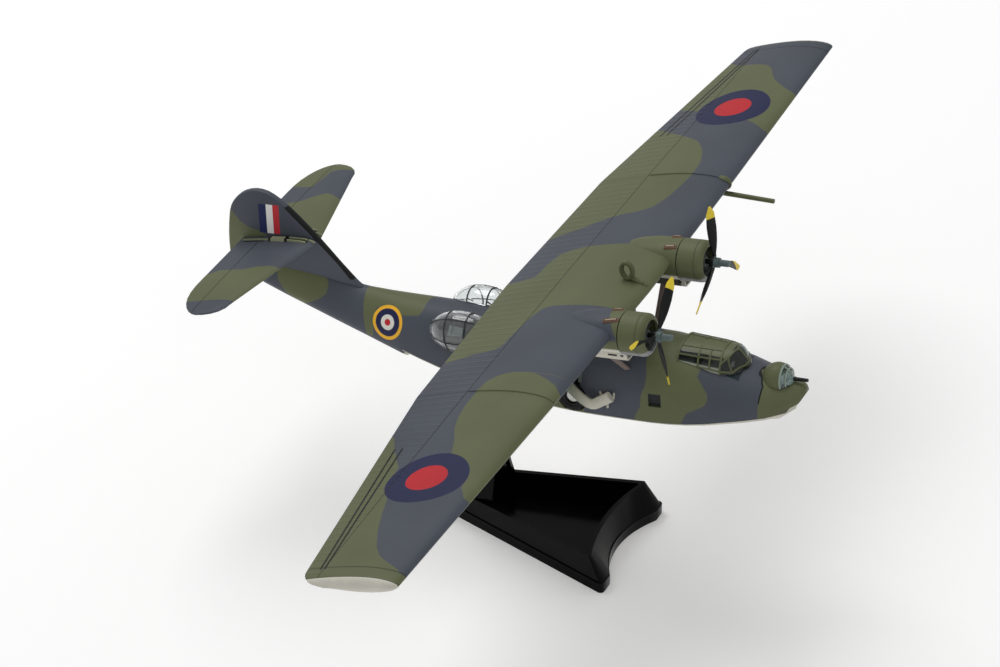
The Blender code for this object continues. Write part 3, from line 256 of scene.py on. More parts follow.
def all_of(tree, *masks):
    """1 only where every mask is 1. A plain number among them makes the result fainter."""
    joined = masks[0]
    for mask in masks[1:]:
        joined = add(tree, "ShaderNodeMath", joined, mask, operation="MULTIPLY")
    return joined


def any_of(tree, *masks):
    """1 where at least one mask is 1."""
    joined = masks[0]
    for mask in masks[1:]:
        joined = add(tree, "ShaderNodeMath", joined, mask, operation="MAXIMUM")
    return joined


def between(tree, value, low, high, soft=0.3):
    """1 where a value lies between two limits."""
    return all_of(tree, below(tree, low, value, soft), below(tree, value, high, soft))


def paint_over(tree, colour, *coats):
    """Lay coats over a colour, in order. A coat is a mask and its colour."""
    for mask, tint in coats:
        colour = add(tree, "ShaderNodeMix", mask, colour, tint, data_type="RGBA")
    return colour


def distance_from(tree, across, up, centre):
    """Distance in a flat view from a centre, for roundels and tips."""
    spot = add(tree, "ShaderNodeCombineXYZ", across, up, 0.0)
    return add(tree, "ShaderNodeVectorMath", spot, (*centre, 0.0), operation="DISTANCE").outputs["Value"]


def strip(tree, value, middle, width, soft=0.12):
    """1 along a line of the given width, for panel lines and stripes."""
    gap = add(tree, "ShaderNodeMath", value, middle, operation="SUBTRACT")
    size = add(tree, "ShaderNodeMath", gap, operation="ABSOLUTE")
    return below(tree, size, width / 2, soft)


# Noise scales are per mm: slow clouds about 14 mm across, and sprayed specks of about 0.4 mm.
CLOUD_SCALE = 0.07
GRAIN_SCALE = 2.6
ROUGHNESS_SPREAD = 0.05


def painted(name, recipe, roughness=0.5, peel=0.012, sheen=0.22):
    """Sprayed enamel with low sheen. The recipe gives its colour and its relief in mm."""
    material, tree = empty_material(name)
    place, x, y, z = aircraft_place(tree)
    colour, relief = recipe(tree, place, x, y, z)
    cloud = add(tree, "ShaderNodeTexNoise", sockets={"Vector": place, "Scale": CLOUD_SCALE, "Detail": 3.0})
    tone = add(tree, "ShaderNodeMapRange", cloud, 0.3, 0.7, 0.93, 1.07)
    grain = add(tree, "ShaderNodeTexNoise", sockets={"Vector": place, "Scale": GRAIN_SCALE, "Detail": 2.0})
    speck = add(tree, "ShaderNodeMapRange", grain, 0.3, 0.7, 0.97, 1.03)
    tone = add(tree, "ShaderNodeMath", tone, speck, operation="MULTIPLY")
    toned = add(tree, "ShaderNodeVectorMath", colour, sockets={"Scale": tone}, operation="SCALE")
    gloss = add(tree, "ShaderNodeMapRange", grain, 0.3, 0.7, roughness - ROUGHNESS_SPREAD,
                roughness + ROUGHNESS_SPREAD)
    orange = add(tree, "ShaderNodeMath", grain, peel, operation="MULTIPLY")
    height = add(tree, "ShaderNodeMath", orange, relief, operation="ADD")
    bump = add(tree, "ShaderNodeBump", sockets={"Strength": 1.0, "Distance": MM, "Height": height})
    shader = add(tree, "ShaderNodeBsdfPrincipled", sockets={
        "Base Color": toned, "Roughness": gloss, "IOR": 1.5, "Specular IOR Level": sheen, "Normal": bump})
    add(tree, "ShaderNodeOutputMaterial", shader)
    return material


def roundel(tree, colour, distance, rings):
    """Paint discs of shrinking radius over a colour."""
    return paint_over(tree, colour, *((below(tree, distance, radius, 0.15), tint) for radius, tint in rings))


def under_chord(tree, y, z, stations, height, lean, depth):
    """1 under the middle of a flat wing, whose chord falls towards its rear edge."""
    fall = (stations[1] - stations[0]) * math.tan(lean)
    chord = add(tree, "ShaderNodeMapRange", y, *stations, height, height - fall)
    return below(tree, z, add(tree, "ShaderNodeMath", chord, -depth, operation="ADD"))


# %% [markdown]
# The wing's camouflage
#
# Two colours of matt enamel, grey over green, with edges that wander across the span. The three traced
# lines are the front and rear edges of the green areas. The roundels are discs by distance from their
# centres. The moulded lines, the ribs behind the spar and the sprayed grain are height, so they catch the
# light.

# %% Wing paint
ROUNDEL_BLUE = shade("#1C2146")
ROUNDEL_RED = shade("#B8222B")
LINE_BLACK = shade("#14160F")
GREEN_FRONT = [(-110, 20), (-41.7, 20), (-41.5, 29), (-40.3, 32.4), (-38.7, 33.9), (-37.3, 36.6), (-36, 40),
               (-35.8, 20), (110, 20)]
GREEN_MIDDLE = [(-110, 20), (-78.5, 20), (-77.7, 34.1), (-74.9, 36.0), (-70.5, 37.4), (-65.7, 43.2),
                (-64.1, 43.5), (-59.9, 45.1), (-56.6, 46.9), (-52.3, 48.3), (-48, 48.9), (-43.7, 48.9),
                (-39.8, 48.7), (-37.2, 46.8), (-35.9, 43.6), (-35.7, 20), (-10, 20), (-9.5, 66), (0, 66),
                (0.8, 62), (1.1, 58.3), (6.9, 57.7), (10.6, 56.7), (12.5, 53.5), (13.3, 48.5), (13.6, 43),
                (14, 20), (63.5, 20), (63.9, 33.1), (65.1, 35), (66, 36.4), (69, 44), (72.1, 52.1),
                (74, 56.5), (75.5, 60), (77, 66), (79, 66), (80.5, 20), (110, 20)]
GREEN_REAR = [(-110, 30), (-102.5, 30), (-101.4, 35.2), (-100.5, 36.7), (-99.6, 38.6), (-98.1, 41),
              (-95.2, 43.3), (-89.7, 46), (-84.2, 48), (-79.7, 49.4), (-75.9, 51.6), (-68.8, 52.8),
              (-66.6, 54.4), (-61.9, 57.5), (-57.2, 60.2), (-55, 66), (-31, 66), (-30.5, 64), (-29.5, 59.7),
              (-28, 57), (-27.9, 53.7), (-26.4, 52), (-21.4, 51.5), (-16.4, 50.9), (-11.9, 49.5),
              (-10.7, 46.3), (-10.5, 30), (-8, 30), (-6, 66), (17, 66), (17.5, 64.2), (19.7, 61.3),
              (21.2, 57.2), (23.7, 53.8), (25.7, 50), (26.7, 45.9), (28.5, 43.4), (32.7, 41.9),
              (36.5, 41.2), (42.7, 40.6), (47.4, 41), (50.6, 42), (53.8, 43.4), (57.2, 45.8), (59.3, 48.9),
              (62.1, 53.7), (65.3, 58.5), (66.5, 62), (67.5, 66), (77.5, 66), (78, 30), (81, 30),
              (81.3, 33.7), (82.6, 36.5), (85.3, 39.7), (87.4, 41.2), (90.9, 42.9), (93.3, 45.2),
              (93.7, 47.2), (94.3, 52.3), (96.2, 54.9), (97, 60), (97.5, 66), (110, 66)]
WING_ROUNDEL = (72.8, 44.5)
WING_ROUNDEL_RINGS = ((8.2, ROUNDEL_BLUE), (4.1, ROUNDEL_RED))
AILERON_ENDS = (62, 102)
AILERON_LINES = ((57.3, 51.7), (55.6, 50.8))
AILERON_LINE_WIDTH = 0.45
PANEL_LINE_WIDTH = 0.25
PANEL_LINE_SHARE = 0.5
GROOVE_DEPTH = 0.1
WING_SPAR = 51.0
WING_TIP_LINE = 101.5
RIB_SPACING = 2.1
RIB_HEIGHT = 0.07
WING_STATIONS = (31.4, 64.4)
WING_HEIGHT = 28.8
WING_LEAN = math.radians(5.8)
WING_HALF_DEPTH = 0.9


def wing_recipe(tree, place, x, y, z):
    out = add(tree, "ShaderNodeMath", x, operation="ABSOLUTE")
    patch = between(tree, y, line_through(tree, x, GREEN_FRONT), line_through(tree, x, GREEN_MIDDLE))
    rear = below(tree, line_through(tree, x, GREEN_REAR), y)
    colour = paint_over(tree, SLATE, (any_of(tree, patch, rear), OLIVE))
    colour = roundel(tree, colour, distance_from(tree, out, y, WING_ROUNDEL), WING_ROUNDEL_RINGS)

    hinges = [add(tree, "ShaderNodeMapRange", out, *AILERON_ENDS, *stations) for stations in AILERON_LINES]
    grooves = any_of(tree, *(strip(tree, y, hinge, AILERON_LINE_WIDTH) for hinge in hinges))
    aileron = all_of(tree, grooves, between(tree, out, *AILERON_ENDS))
    lines = any_of(tree, strip(tree, y, WING_SPAR, PANEL_LINE_WIDTH),
                   strip(tree, out, WING_TIP_LINE, PANEL_LINE_WIDTH))
    faint = all_of(tree, lines, PANEL_LINE_SHARE)
    under = under_chord(tree, y, z, WING_STATIONS, WING_HEIGHT, WING_LEAN, WING_HALF_DEPTH)
    colour = paint_over(tree, colour, (aileron, LINE_BLACK), (faint, LINE_BLACK), (under, PALE))

    turns = add(tree, "ShaderNodeMath", x, 2 * math.pi / RIB_SPACING, operation="MULTIPLY")
    wave = add(tree, "ShaderNodeMath", turns, operation="COSINE")
    crest = add(tree, "ShaderNodeMapRange", wave, 0.5, 1.0, 0.0, RIB_HEIGHT)
    ribs = all_of(tree, crest, below(tree, WING_SPAR, y))
    grooves = any_of(tree, lines, aileron)
    return colour, add(tree, "ShaderNodeMath", grooves, -GROOVE_DEPTH, ribs, operation="MULTIPLY_ADD")


wing_paint = painted("wing_camouflage_matt_enamel", wing_recipe)
print("wing paint nodes:", len(wing_paint.node_tree.nodes))

# %% [markdown]
# The hull's camouflage
#
# The same two colours run up the hull's sides, with a pale underside, a ringed roundel aft and a panel line
# behind the bow. The lines are traced as station against height, because the sides are seen from abeam. The
# roundel is a decal on a side that leans inwards, so its height is measured up that slope. Where the clear
# plastic lets one look into the cockpit and the waist, the hull is painted near black as painted shade,
# tinted teal as a painted reflection.

# %% Hull paint
NOSE_EDGE = [(0, 8.3), (6.8, 8.1), (9.2, 7.9), (11.4, 7.7), (12.4, 8.5), (12.8, 9.4), (20, 9.6)]
BOW_PATCH_FRONT = [(0, 23.8), (4.8, 23.6), (6.9, 22.3), (7.8, 20.4), (8.6, 18.6), (9.7, 17.9), (10.9, 18.0),
                   (12.3, 19.2), (13.7, 20.5), (15.0, 20.1), (20, 19.6)]
BOW_PATCH_REAR = [(0, 34.6), (4.3, 33.9), (5.6, 33.3), (7.3, 32.3), (9.5, 32.1), (11.6, 31.2), (13.5, 31.0),
                  (15.5, 31.5), (20, 32.0)]
LOW_PATCH_TOP = [(0, 0), (44.5, 0), (45.5, 8.0), (52, 10.0), (60, 10.4), (66, 9.0), (72, 7.0), (76, 0),
                 (130, 0)]
DECK_PATCH = [(0, 30), (82.8, 30), (83.3, 18.6), (84.2, 18.3), (88.1, 18.0), (91.1, 18.5), (94, 18.9),
              (95, 12.7), (96.7, 12.7), (97.2, 20), (99, 30), (130, 30)]
TAIL_PATCH_FRONT = [(14, 112.5), (17.3, 111.5), (18.9, 107.9), (20.2, 106.2), (22.1, 106.0), (23.7, 107.4),
                    (25.1, 110.2), (26, 113.7), (30, 114)]
TAIL_PATCH_REAR = [(14, 114), (17.3, 115), (21.8, 118.1), (25.1, 118.4), (26, 116), (30, 114)]
UNDERSIDE_EDGE = [(0, 0), (56, 3.6), (70, 6.0), (80, 7.8), (88, 9.6), (98, 12.2), (104, 13.8), (110, 15.4),
                  (126.5, 20.4)]
HULL_ROUNDEL = (4.72, 91.1, 16.3)
HULL_ROUNDEL_LEAN = math.radians(32.9)
HULL_ROUNDEL_RINGS = ((3.6, shade("#E9B02E")), (2.9, ROUNDEL_BLUE), (1.62, shade("#D8D6CE")),
                      (0.7, ROUNDEL_RED))
# Painted shade: near black for the shade in the cockpit well and the waist, tinted teal as a painted
# reflection.
INSIDE_SHADE_TEAL = shade("#12262A")
WINDOW_BLACK = shade("#1B1D22")
COCKPIT_HALF_WIDTH = 4.6
COCKPIT_ENDS = (12.4, 25.1)
COCKPIT_FLOOR = 6.8
WAIST_PLACE = (5.15, 73.5, 16.5)
WAIST_RADII = (2.9, 5.54, 3.5)
WINDOW_ENDS = (27.75, 30.45)
WINDOW_HEIGHTS = (7.6, 10.2)
NOSE_SEAM_FOOT = 9.0
SEAM_DEPTH = 0.08


def hull_recipe(tree, place, x, y, z):
    out = add(tree, "ShaderNodeMath", x, operation="ABSOLUTE")
    nose_edge = line_through(tree, z, NOSE_EDGE)
    green = any_of(
        tree, below(tree, y, nose_edge), below(tree, z, line_through(tree, y, LOW_PATCH_TOP)),
        between(tree, y, line_through(tree, z, BOW_PATCH_FRONT), line_through(tree, z, BOW_PATCH_REAR)),
        between(tree, y, line_through(tree, z, TAIL_PATCH_FRONT), line_through(tree, z, TAIL_PATCH_REAR)),
        below(tree, line_through(tree, y, DECK_PATCH), z))
    under = below(tree, z, line_through(tree, y, UNDERSIDE_EDGE), 0.5)
    colour = paint_over(tree, SLATE, (green, OLIVE), (under, PALE))

    lift = add(tree, "ShaderNodeMath", z, HULL_ROUNDEL[2], operation="SUBTRACT")
    inward = add(tree, "ShaderNodeMath", HULL_ROUNDEL[0], out, operation="SUBTRACT")
    slope = add(tree, "ShaderNodeMath", inward, math.sin(HULL_ROUNDEL_LEAN), operation="MULTIPLY")
    up_the_side = add(tree, "ShaderNodeMath", lift, math.cos(HULL_ROUNDEL_LEAN), slope,
                      operation="MULTIPLY_ADD")
    circle = distance_from(tree, y, up_the_side, (HULL_ROUNDEL[1], 0.0))
    colour = roundel(tree, colour, circle, HULL_ROUNDEL_RINGS)

    cockpit = all_of(tree, below(tree, out, COCKPIT_HALF_WIDTH), between(tree, y, *COCKPIT_ENDS),
                     below(tree, COCKPIT_FLOOR, z))
    waist = add(tree, "ShaderNodeCombineXYZ", out, y, z)
    waist = add(tree, "ShaderNodeVectorMath", waist, WAIST_PLACE, operation="SUBTRACT")
    waist = add(tree, "ShaderNodeVectorMath", waist, WAIST_RADII, operation="DIVIDE")
    waist = add(tree, "ShaderNodeVectorMath", waist, operation="LENGTH").outputs["Value"]
    # Painted shade, with a teal painted reflection, in the cockpit well and the waist.
    well_shade = any_of(tree, cockpit, below(tree, waist, 1.02, 0.02))
    window = all_of(tree, between(tree, y, *WINDOW_ENDS), between(tree, z, *WINDOW_HEIGHTS))
    seam = all_of(tree, strip(tree, y, nose_edge, PANEL_LINE_WIDTH), below(tree, NOSE_SEAM_FOOT, z))
    colour = paint_over(tree, colour, (well_shade, INSIDE_SHADE_TEAL), (window, WINDOW_BLACK), (seam, LINE_BLACK))
    return colour, add(tree, "ShaderNodeMath", seam, -SEAM_DEPTH, operation="MULTIPLY")


hull_paint = painted("hull_camouflage_matt_enamel", hull_recipe)
print("hull paint nodes:", len(hull_paint.node_tree.nodes))

# %% [markdown]
# Fin and tailplane
#
# The fin is grey above a green patch, with the three-coloured flash and a black rubber de-icing strip along
# its front edge. The tailplane repeats the wing's scheme at a small scale.

# %% Tail paint
FIN_PATCH = [(0, 124.0), (22, 122.0), (31.2, 118.5), (31.7, 119.3), (32.6, 120.8), (33.2, 123.3),
             (34.5, 125.2), (36.9, 126.7), (38, 130), (45, 131)]
DEICER_EDGE = [(18, 90), (22.7, 90), (23.0, 100.9), (26.4, 103.2), (33.5, 108.9), (39.0, 113.7), (39.2, 90),
               (45, 90)]
FLASH_TOP = 39.3
FLASH_BOTTOM = 32.3
FLASH_LEAN = 1.0 / 7.0
FLASH_BARS = ((114.9, 116.4, shade("#BE2F38")), (116.4, 118.0, shade("#E9E7E4")),
              (118.0, 119.8, shade("#1D2452")))


def fin_recipe(tree, place, x, y, z):
    colour = paint_over(tree, SLATE, (below(tree, line_through(tree, z, FIN_PATCH), y), OLIVE))
    drop = add(tree, "ShaderNodeMath", FLASH_TOP, z, operation="SUBTRACT")
    upright = add(tree, "ShaderNodeMath", drop, -FLASH_LEAN, y, operation="MULTIPLY_ADD")
    band = between(tree, z, FLASH_BOTTOM, FLASH_TOP, 0.1)
    for start, end, tint in FLASH_BARS:
        bar = strip(tree, upright, (start + end) / 2, end - start)
        colour = paint_over(tree, colour, (all_of(tree, bar, band), tint))
    rubber = below(tree, y, line_through(tree, z, DEICER_EDGE), 0.15)
    return paint_over(tree, colour, (rubber, shade("#121313"))), 0.0


STARBOARD_ROOT = [(106, -12.1), (112, -12.1), (114.9, -13), (117.6, -14.3), (122.8, -14.7), (124.6, -16.1),
                  (126, -16.4)]
STARBOARD_TIP = [(106, -25.2), (114.2, -25.7), (120.9, -26.9), (126, -27.4)]
PORT_ROOT = [(106, 16.8), (111.5, 16.8), (114.8, 18.1), (116.5, 17.1), (119.4, 14.3), (122.8, 13.2),
             (126, 12.9)]
PORT_OUTER = [(0, 130), (20.3, 130), (20.5, 120.1), (24.2, 119.5), (27.5, 119.1), (28.5, 117.2),
              (28.9, 114.4), (29.2, 100), (35, 100)]
ELEVATOR_HINGE = 120.2
ELEVATOR_LINE_WIDTH = 0.22
TAILPLANE_STATIONS = (106.9, 125.2)
TAILPLANE_HEIGHT = 31.4
TAILPLANE_LEAN = math.radians(3.0)
TAILPLANE_HALF_DEPTH = 0.4


def tailplane_recipe(tree, place, x, y, z):
    starboard = between(tree, x, line_through(tree, y, STARBOARD_TIP), line_through(tree, y, STARBOARD_ROOT))
    port_root = between(tree, x, 0.0, line_through(tree, y, PORT_ROOT))
    port_outer = below(tree, line_through(tree, x, PORT_OUTER), y)
    hinge = strip(tree, y, ELEVATOR_HINGE, ELEVATOR_LINE_WIDTH)
    faint = all_of(tree, hinge, 0.6)
    under = under_chord(tree, y, z, TAILPLANE_STATIONS, TAILPLANE_HEIGHT, TAILPLANE_LEAN,
                        TAILPLANE_HALF_DEPTH)
    green = any_of(tree, starboard, port_root, port_outer)
    colour = paint_over(tree, SLATE, (green, OLIVE), (faint, LINE_BLACK), (under, PALE))
    return colour, add(tree, "ShaderNodeMath", hinge, -SEAM_DEPTH, operation="MULTIPLY")


fin_paint = painted("fin_camouflage_matt_enamel", fin_recipe)
tailplane_paint = painted("tailplane_camouflage_matt_enamel", tailplane_recipe)
print("tail paints:", fin_paint.name, tailplane_paint.name)

# %% [markdown]
# Nacelles, cowls and small painted parts
#
# The engine housings are green, with pale grey bottoms. Behind the starboard cowl the grey comes forward.

# %% Engine housing paint
COWL_BOTTOM = shade("#8F9092")
COOLER_LIP_STATION = 31.1
NACELLE_GREEN = [(24, 31.0), (28.7, 30.6), (31.5, 32.3), (32.0, 34.0), (32.3, 37.1), (33, 37.4)]
NACELLE_LOW_SIDE = 28.0
NACELLE_UNDERSIDE = 25.8
COWL_UNDERSIDE = 25.5
COWL_LIP_STATION = 26.6
DARKER_FRECKLE = 0.86


def nacelle_recipe(tree, place, x, y, z):
    green = any_of(tree, below(tree, y, line_through(tree, z, NACELLE_GREEN)),
                   below(tree, z, NACELLE_LOW_SIDE, 0.6), below(tree, 0.0, x))
    return paint_over(tree, SLATE, (green, OLIVE), (below(tree, z, NACELLE_UNDERSIDE, 0.5), PALE)), 0.0


def cowl_recipe(tree, place, x, y, z):
    lip = strip(tree, y, COWL_LIP_STATION, 0.2)
    faint = all_of(tree, lip, 0.35)
    under = below(tree, z, COWL_UNDERSIDE, 0.4)
    colour = paint_over(tree, OLIVE, (under, COWL_BOTTOM), (faint, LINE_BLACK))
    return colour, add(tree, "ShaderNodeMath", lip, -0.06, operation="MULTIPLY")


def cooler_pale_and_shade_recipe(tree, place, x, y, z):
    """Pale, with painted shade behind the lip on the port side, where the cooler's face is shaded."""
    # Painted shade: darker grey on the port cooler behind its lip.
    body = all_of(tree, below(tree, COOLER_LIP_STATION, y, 0.1), below(tree, 0.0, x))
    return paint_over(tree, PALE, (body, shade("#55524B"))), 0.0


def plain_recipe(tint):
    """One enamel colour, a little darker in freckles about 2 mm across."""
    def recipe(tree, place, x, y, z):
        freckle = add(tree, "ShaderNodeTexNoise", sockets={"Vector": place, "Scale": 0.5, "Detail": 4.0})
        darker = tuple(value * DARKER_FRECKLE for value in tint[:3]) + (1.0,)
        return paint_over(tree, tint, (freckle, darker)), 0.0
    return recipe


nacelle_paint = painted("nacelle_camouflage_matt_enamel", nacelle_recipe)
cowl_paint = painted("cowl_green_matt_enamel", cowl_recipe)
olive_paint = painted("green_matt_enamel", plain_recipe(OLIVE))
slate_paint = painted("grey_matt_enamel", plain_recipe(SLATE))
pale_paint = painted("pale_matt_enamel", plain_recipe(PALE))
# Pale cooler paint, with painted shade on the port cooler.
cooler_paint_and_shade = painted("cooler_pale_enamel_with_painted_shade", cooler_pale_and_shade_recipe)
gun_black = painted("gun_black_satin_plastic", plain_recipe(shade("#0D0D0F")), roughness=0.35)
# Black for the tyres, and also painted shade in the gear channels.
tyre_and_channel_shade_black = painted("tyre_and_channel_shade_black_plastic", plain_recipe(shade("#191A1B")), roughness=0.75)
engine_paint = painted("engine_grey_enamel", plain_recipe(shade("#4C5250")), roughness=0.45)
print("materials so far:", len(bpy.data.materials))

# %% [markdown]
# Propellers and stand
#
# The propellers are black plastic with yellow painted tips: the colour changes with distance from the
# shaft, so it stays right as they turn. The stand is glossy moulded polystyrene, which shows as highlights
# on black.

# %% Propeller and stand finishes
PROPELLER_AXIS = (14.3, 27.6)
PROPELLER_RADIUS = 12.38
YELLOW_TIP = 2.5
GEAR_CASE_END = 23.7
GEAR_CASE_REACH = 1.5


def propeller_recipe(tree, place, x, y, z):
    out = add(tree, "ShaderNodeMath", x, operation="ABSOLUTE")
    reach = distance_from(tree, out, z, PROPELLER_AXIS)
    blade = below(tree, reach, PROPELLER_RADIUS - YELLOW_TIP, 0.15)
    gear_case = all_of(tree, below(tree, y, GEAR_CASE_END, 0.1), below(tree, reach, GEAR_CASE_REACH, 0.1))
    return paint_over(tree, shade("#E8CF3C"), (blade, shade("#101112")), (gear_case, shade("#566463"))), 0.0


propeller_finish = painted("propeller_black_satin_plastic", propeller_recipe, roughness=0.4)

stand_plastic, tree = empty_material("glossy_black_polystyrene")
place, _, _, _ = aircraft_place(tree)
ripple = add(tree, "ShaderNodeTexNoise", sockets={"Vector": place, "Scale": 0.12, "Detail": 2.0})
scuff = add(tree, "ShaderNodeTexNoise", sockets={"Vector": place, "Scale": 1.7, "Detail": 5.0})
gloss = add(tree, "ShaderNodeMapRange", scuff, 0.35, 0.75, 0.14, 0.26)
bump = add(tree, "ShaderNodeBump", sockets={"Strength": 0.6, "Distance": MM * 0.05, "Height": ripple})
shader = add(tree, "ShaderNodeBsdfPrincipled", sockets={
    "Base Color": shade("#030304"), "Roughness": gloss, "IOR": 1.5, "Specular IOR Level": 0.1,
    "Normal": bump})
add(tree, "ShaderNodeOutputMaterial", shader)
print("stand finish:", stand_plastic.name)

# %% [markdown]
# Dressing the solids
#
# The solids come as loose triangles. A Weld modifier joins them and an Edge Split keeps the real creases,
# so the curved skins shade smoothly while their meshes stay untouched.

# %% Paint the solids
JOINED_WITHIN = 0.002 * MM
CREASE = 32


def dress(name, material):
    solid = nodes[name]
    solid.data.materials.clear()
    solid.data.materials.append(material)
    solid.data.shade_smooth()
    weld = solid.modifiers.new("joined_triangles", "WELD")
    weld.merge_threshold = JOINED_WITHIN
    crease = solid.modifiers.new("kept_creases", "EDGE_SPLIT")
    crease.split_angle = math.radians(CREASE)


PAINTS = {
    "wing_centre": wing_paint, "hull": hull_paint, "hull_bottom": pale_paint, "tail_fin": fin_paint,
    "wing_pylon": slate_paint, "aerial_ring": olive_paint, "pitot_boom": olive_paint,
    "bow_turret": olive_paint, "bow_gun": gun_black, "stand_base": stand_plastic, "stand_arm": stand_plastic,
}
PAINTS_OF_PAIRS = {
    "wing_outer": wing_paint, "wing_float": pale_paint, "wing_strut_front": slate_paint,
    "wing_strut_rear": slate_paint, "tailplane": tailplane_paint, "nacelle": nacelle_paint,
    "cowl": cowl_paint, "oil_cooler": cooler_paint_and_shade, "engine": engine_paint, "propeller": propeller_finish,
    "main_tyre": tyre_and_channel_shade_black, "main_leg": pale_paint, "wheel_hub": pale_paint,
}
for side in SIDES:
    PAINTS.update({f"{name}_{side}": material for name, material in PAINTS_OF_PAIRS.items()})
for name, material in PAINTS.items():
    dress(name, material)
print("solids left to dress:", sorted(set(nodes) - set(PAINTS)))

# %% [markdown]
# Clear plastic
#
# The canopy, the blisters and the turret's nose are thin mouldings in clear polystyrene. The real ones are
# a little wavy and greenish, so the surface has a slow ripple. The canopy's roof is painted over the same
# moulding, and a grey band along its sills is a painted reflection, so one mask in the material decides where
# paint and painted reflection cover the plastic.


# %% Glazing
def clear_plastic(name, tint, cover=None, sheen=0.5):
    """A clear moulding. The cover recipe gives the share and colour of the paint and painted reflection on
    it.
    """
    material, tree = empty_material(name)
    place, x, y, z = aircraft_place(tree)
    ripple = add(tree, "ShaderNodeTexNoise", sockets={"Vector": place, "Scale": 0.35, "Detail": 2.0})
    bump = add(tree, "ShaderNodeBump", sockets={"Strength": 0.35, "Distance": MM * 0.1, "Height": ripple})
    shader = add(tree, "ShaderNodeBsdfPrincipled", sockets={
        "Base Color": shade(tint), "Roughness": 0.05, "IOR": 1.5, "Specular IOR Level": sheen,
        "Transmission Weight": 0.95, "Normal": bump})
    if cover:
        share, colour = cover(tree, x, y, z)
        paint = add(tree, "ShaderNodeBsdfPrincipled", sockets={
            "Base Color": colour, "Roughness": 0.45, "Specular IOR Level": 0.3, "Normal": bump})
        shader = add(tree, "ShaderNodeMixShader", share, shader, paint)
    add(tree, "ShaderNodeOutputMaterial", shader)
    return material


ROOF_FRONT = 14.6
ROOF_HALF_WIDTH = 3.1
SILL_TOP = ((12.0, 12.0), (16.0, 12.0), (16.2, 15.0), (25.4, 16.1))
# Painted reflection: the grey of light reflected off the sloping sill glass.
SILL_REFLECTION_GREY = shade("#8C9388")


def canopy_roof_and_reflection(tree, x, y, z):
    """Green paint on the roof, and a grey band along the sills as a painted reflection on the glass."""
    out = add(tree, "ShaderNodeMath", x, operation="ABSOLUTE")
    roof = all_of(tree, below(tree, out, ROOF_HALF_WIDTH, 0.1), below(tree, ROOF_FRONT, y, 0.1))
    # Painted reflection along the sills.
    sill_reflection = below(tree, z, line_through(tree, y, SILL_TOP), 0.2)
    return any_of(tree, roof, sill_reflection), paint_over(tree, OLIVE, (sill_reflection, SILL_REFLECTION_GREY))


canopy_plastic = clear_plastic("canopy_clear_polystyrene", "#66736B", canopy_roof_and_reflection, sheen=0.2)
blister_plastic = clear_plastic("blister_clear_polystyrene", "#FAFDFD", sheen=0.5)
turret_plastic = clear_plastic("turret_clear_polystyrene", "#8CA09C")
dress("cockpit_canopy", canopy_plastic)
dress("turret_glazing", turret_plastic)
for side in SIDES:
    dress(f"blister_{side}", blister_plastic)
print("clear mouldings dressed:", 4)

# %% [markdown]
# Making and seating small pieces
#
# Frames, ridges and slots follow the skin of a solid. A route is a short list of places; the search tree of
# the solid gives the exact point and direction of its skin under each step, so a strip laid there can't
# float.

# %% Piece helpers
STRIP_STEP = 0.4
STRIP_SINK = 0.12
FAR = 40.0


def make_piece(name, mesh, material, body="airframe", replaces=()):
    """Turn a mesh made in the aircraft's millimetres into a piece of the model."""
    bmesh.ops.transform(mesh, matrix=AIRCRAFT, verts=mesh.verts)
    bmesh.ops.recalc_face_normals(mesh, faces=mesh.faces)
    data = bpy.data.meshes.new(name)
    mesh.to_mesh(data)
    mesh.free()
    data.materials.append(material)
    data.shade_smooth()
    data.set_sharp_from_angle(angle=math.radians(CREASE))
    made = bpy.data.objects.new(name, data)
    scene.collection.objects.link(made)
    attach(made, body)
    if replaces:
        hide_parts(*replaces)
    return made


def add_loft(mesh, rings, ring_closes=False):
    """Skin a row of rings. The ends are flat, or joined to each other where the row closes on itself."""
    loops = [[mesh.verts.new(point) for point in ring] for ring in rings]
    following = loops[1:] + (loops[:1] if ring_closes else [])
    for low, high in zip(loops, following):
        for k in range(len(low)):
            mesh.faces.new((low[k - 1], low[k], high[k], high[k - 1]))
    if not ring_closes:
        mesh.faces.new(loops[0])
        mesh.faces.new(loops[-1])


def turned(mesh, centre, profile, axis="Y", steps=36):
    """Turn a closed profile of (along, radius) points about a line parallel to an axis."""
    rings = []
    for k in range(steps):
        angle = 2 * math.pi * k / steps
        across, up = math.cos(angle), math.sin(angle)
        offsets = [(r * across, a, r * up) if axis == "Y" else (a, r * across, r * up) for a, r in profile]
        rings.append([Vector(centre) + Vector(offset) for offset in offsets])
    add_loft(mesh, rings, ring_closes=True)


def add_rod(mesh, start, end, radius, sides=10):
    """A round rod between two places."""
    start, end = Vector(start), Vector(end)
    along = (end - start).normalized()
    side = along.orthogonal().normalized()
    other = along.cross(side)
    turns = [2 * math.pi * k / sides for k in range(sides)]
    around = [side * radius * math.cos(turn) + other * radius * math.sin(turn) for turn in turns]
    add_loft(mesh, [[place + offset for offset in around] for place in (start, end)])


def skin_of(*names):
    """A search tree over the skins of some solids, in the aircraft's millimetres."""
    corners, faces = [], []
    for name in names:
        first = len(corners)
        data = nodes[name].data
        corners += [TO_AIRCRAFT @ vertex.co for vertex in data.vertices]
        faces += [[first + k for k in face.vertices] for face in data.polygons]
    return BVHTree.FromPolygons(corners, faces)


def lay(skin, route, inward):
    """Points and normals on a skin along a route. inward(place) points from outside towards the skin."""
    stops = [Vector(stop) for stop in route]
    places, normals = [], []
    for start, end in zip(stops, stops[1:]):
        count = max(1, round((end - start).length / STRIP_STEP))
        for k in range(count + (end is stops[-1])):
            place = start.lerp(end, k / count)
            direction = inward(place).normalized()
            point, normal, _, _ = skin.ray_cast(place - direction * FAR, direction)
            if point is not None:
                places.append(point)
                normals.append(normal if normal.dot(direction) < 0 else -normal)
    return places, normals


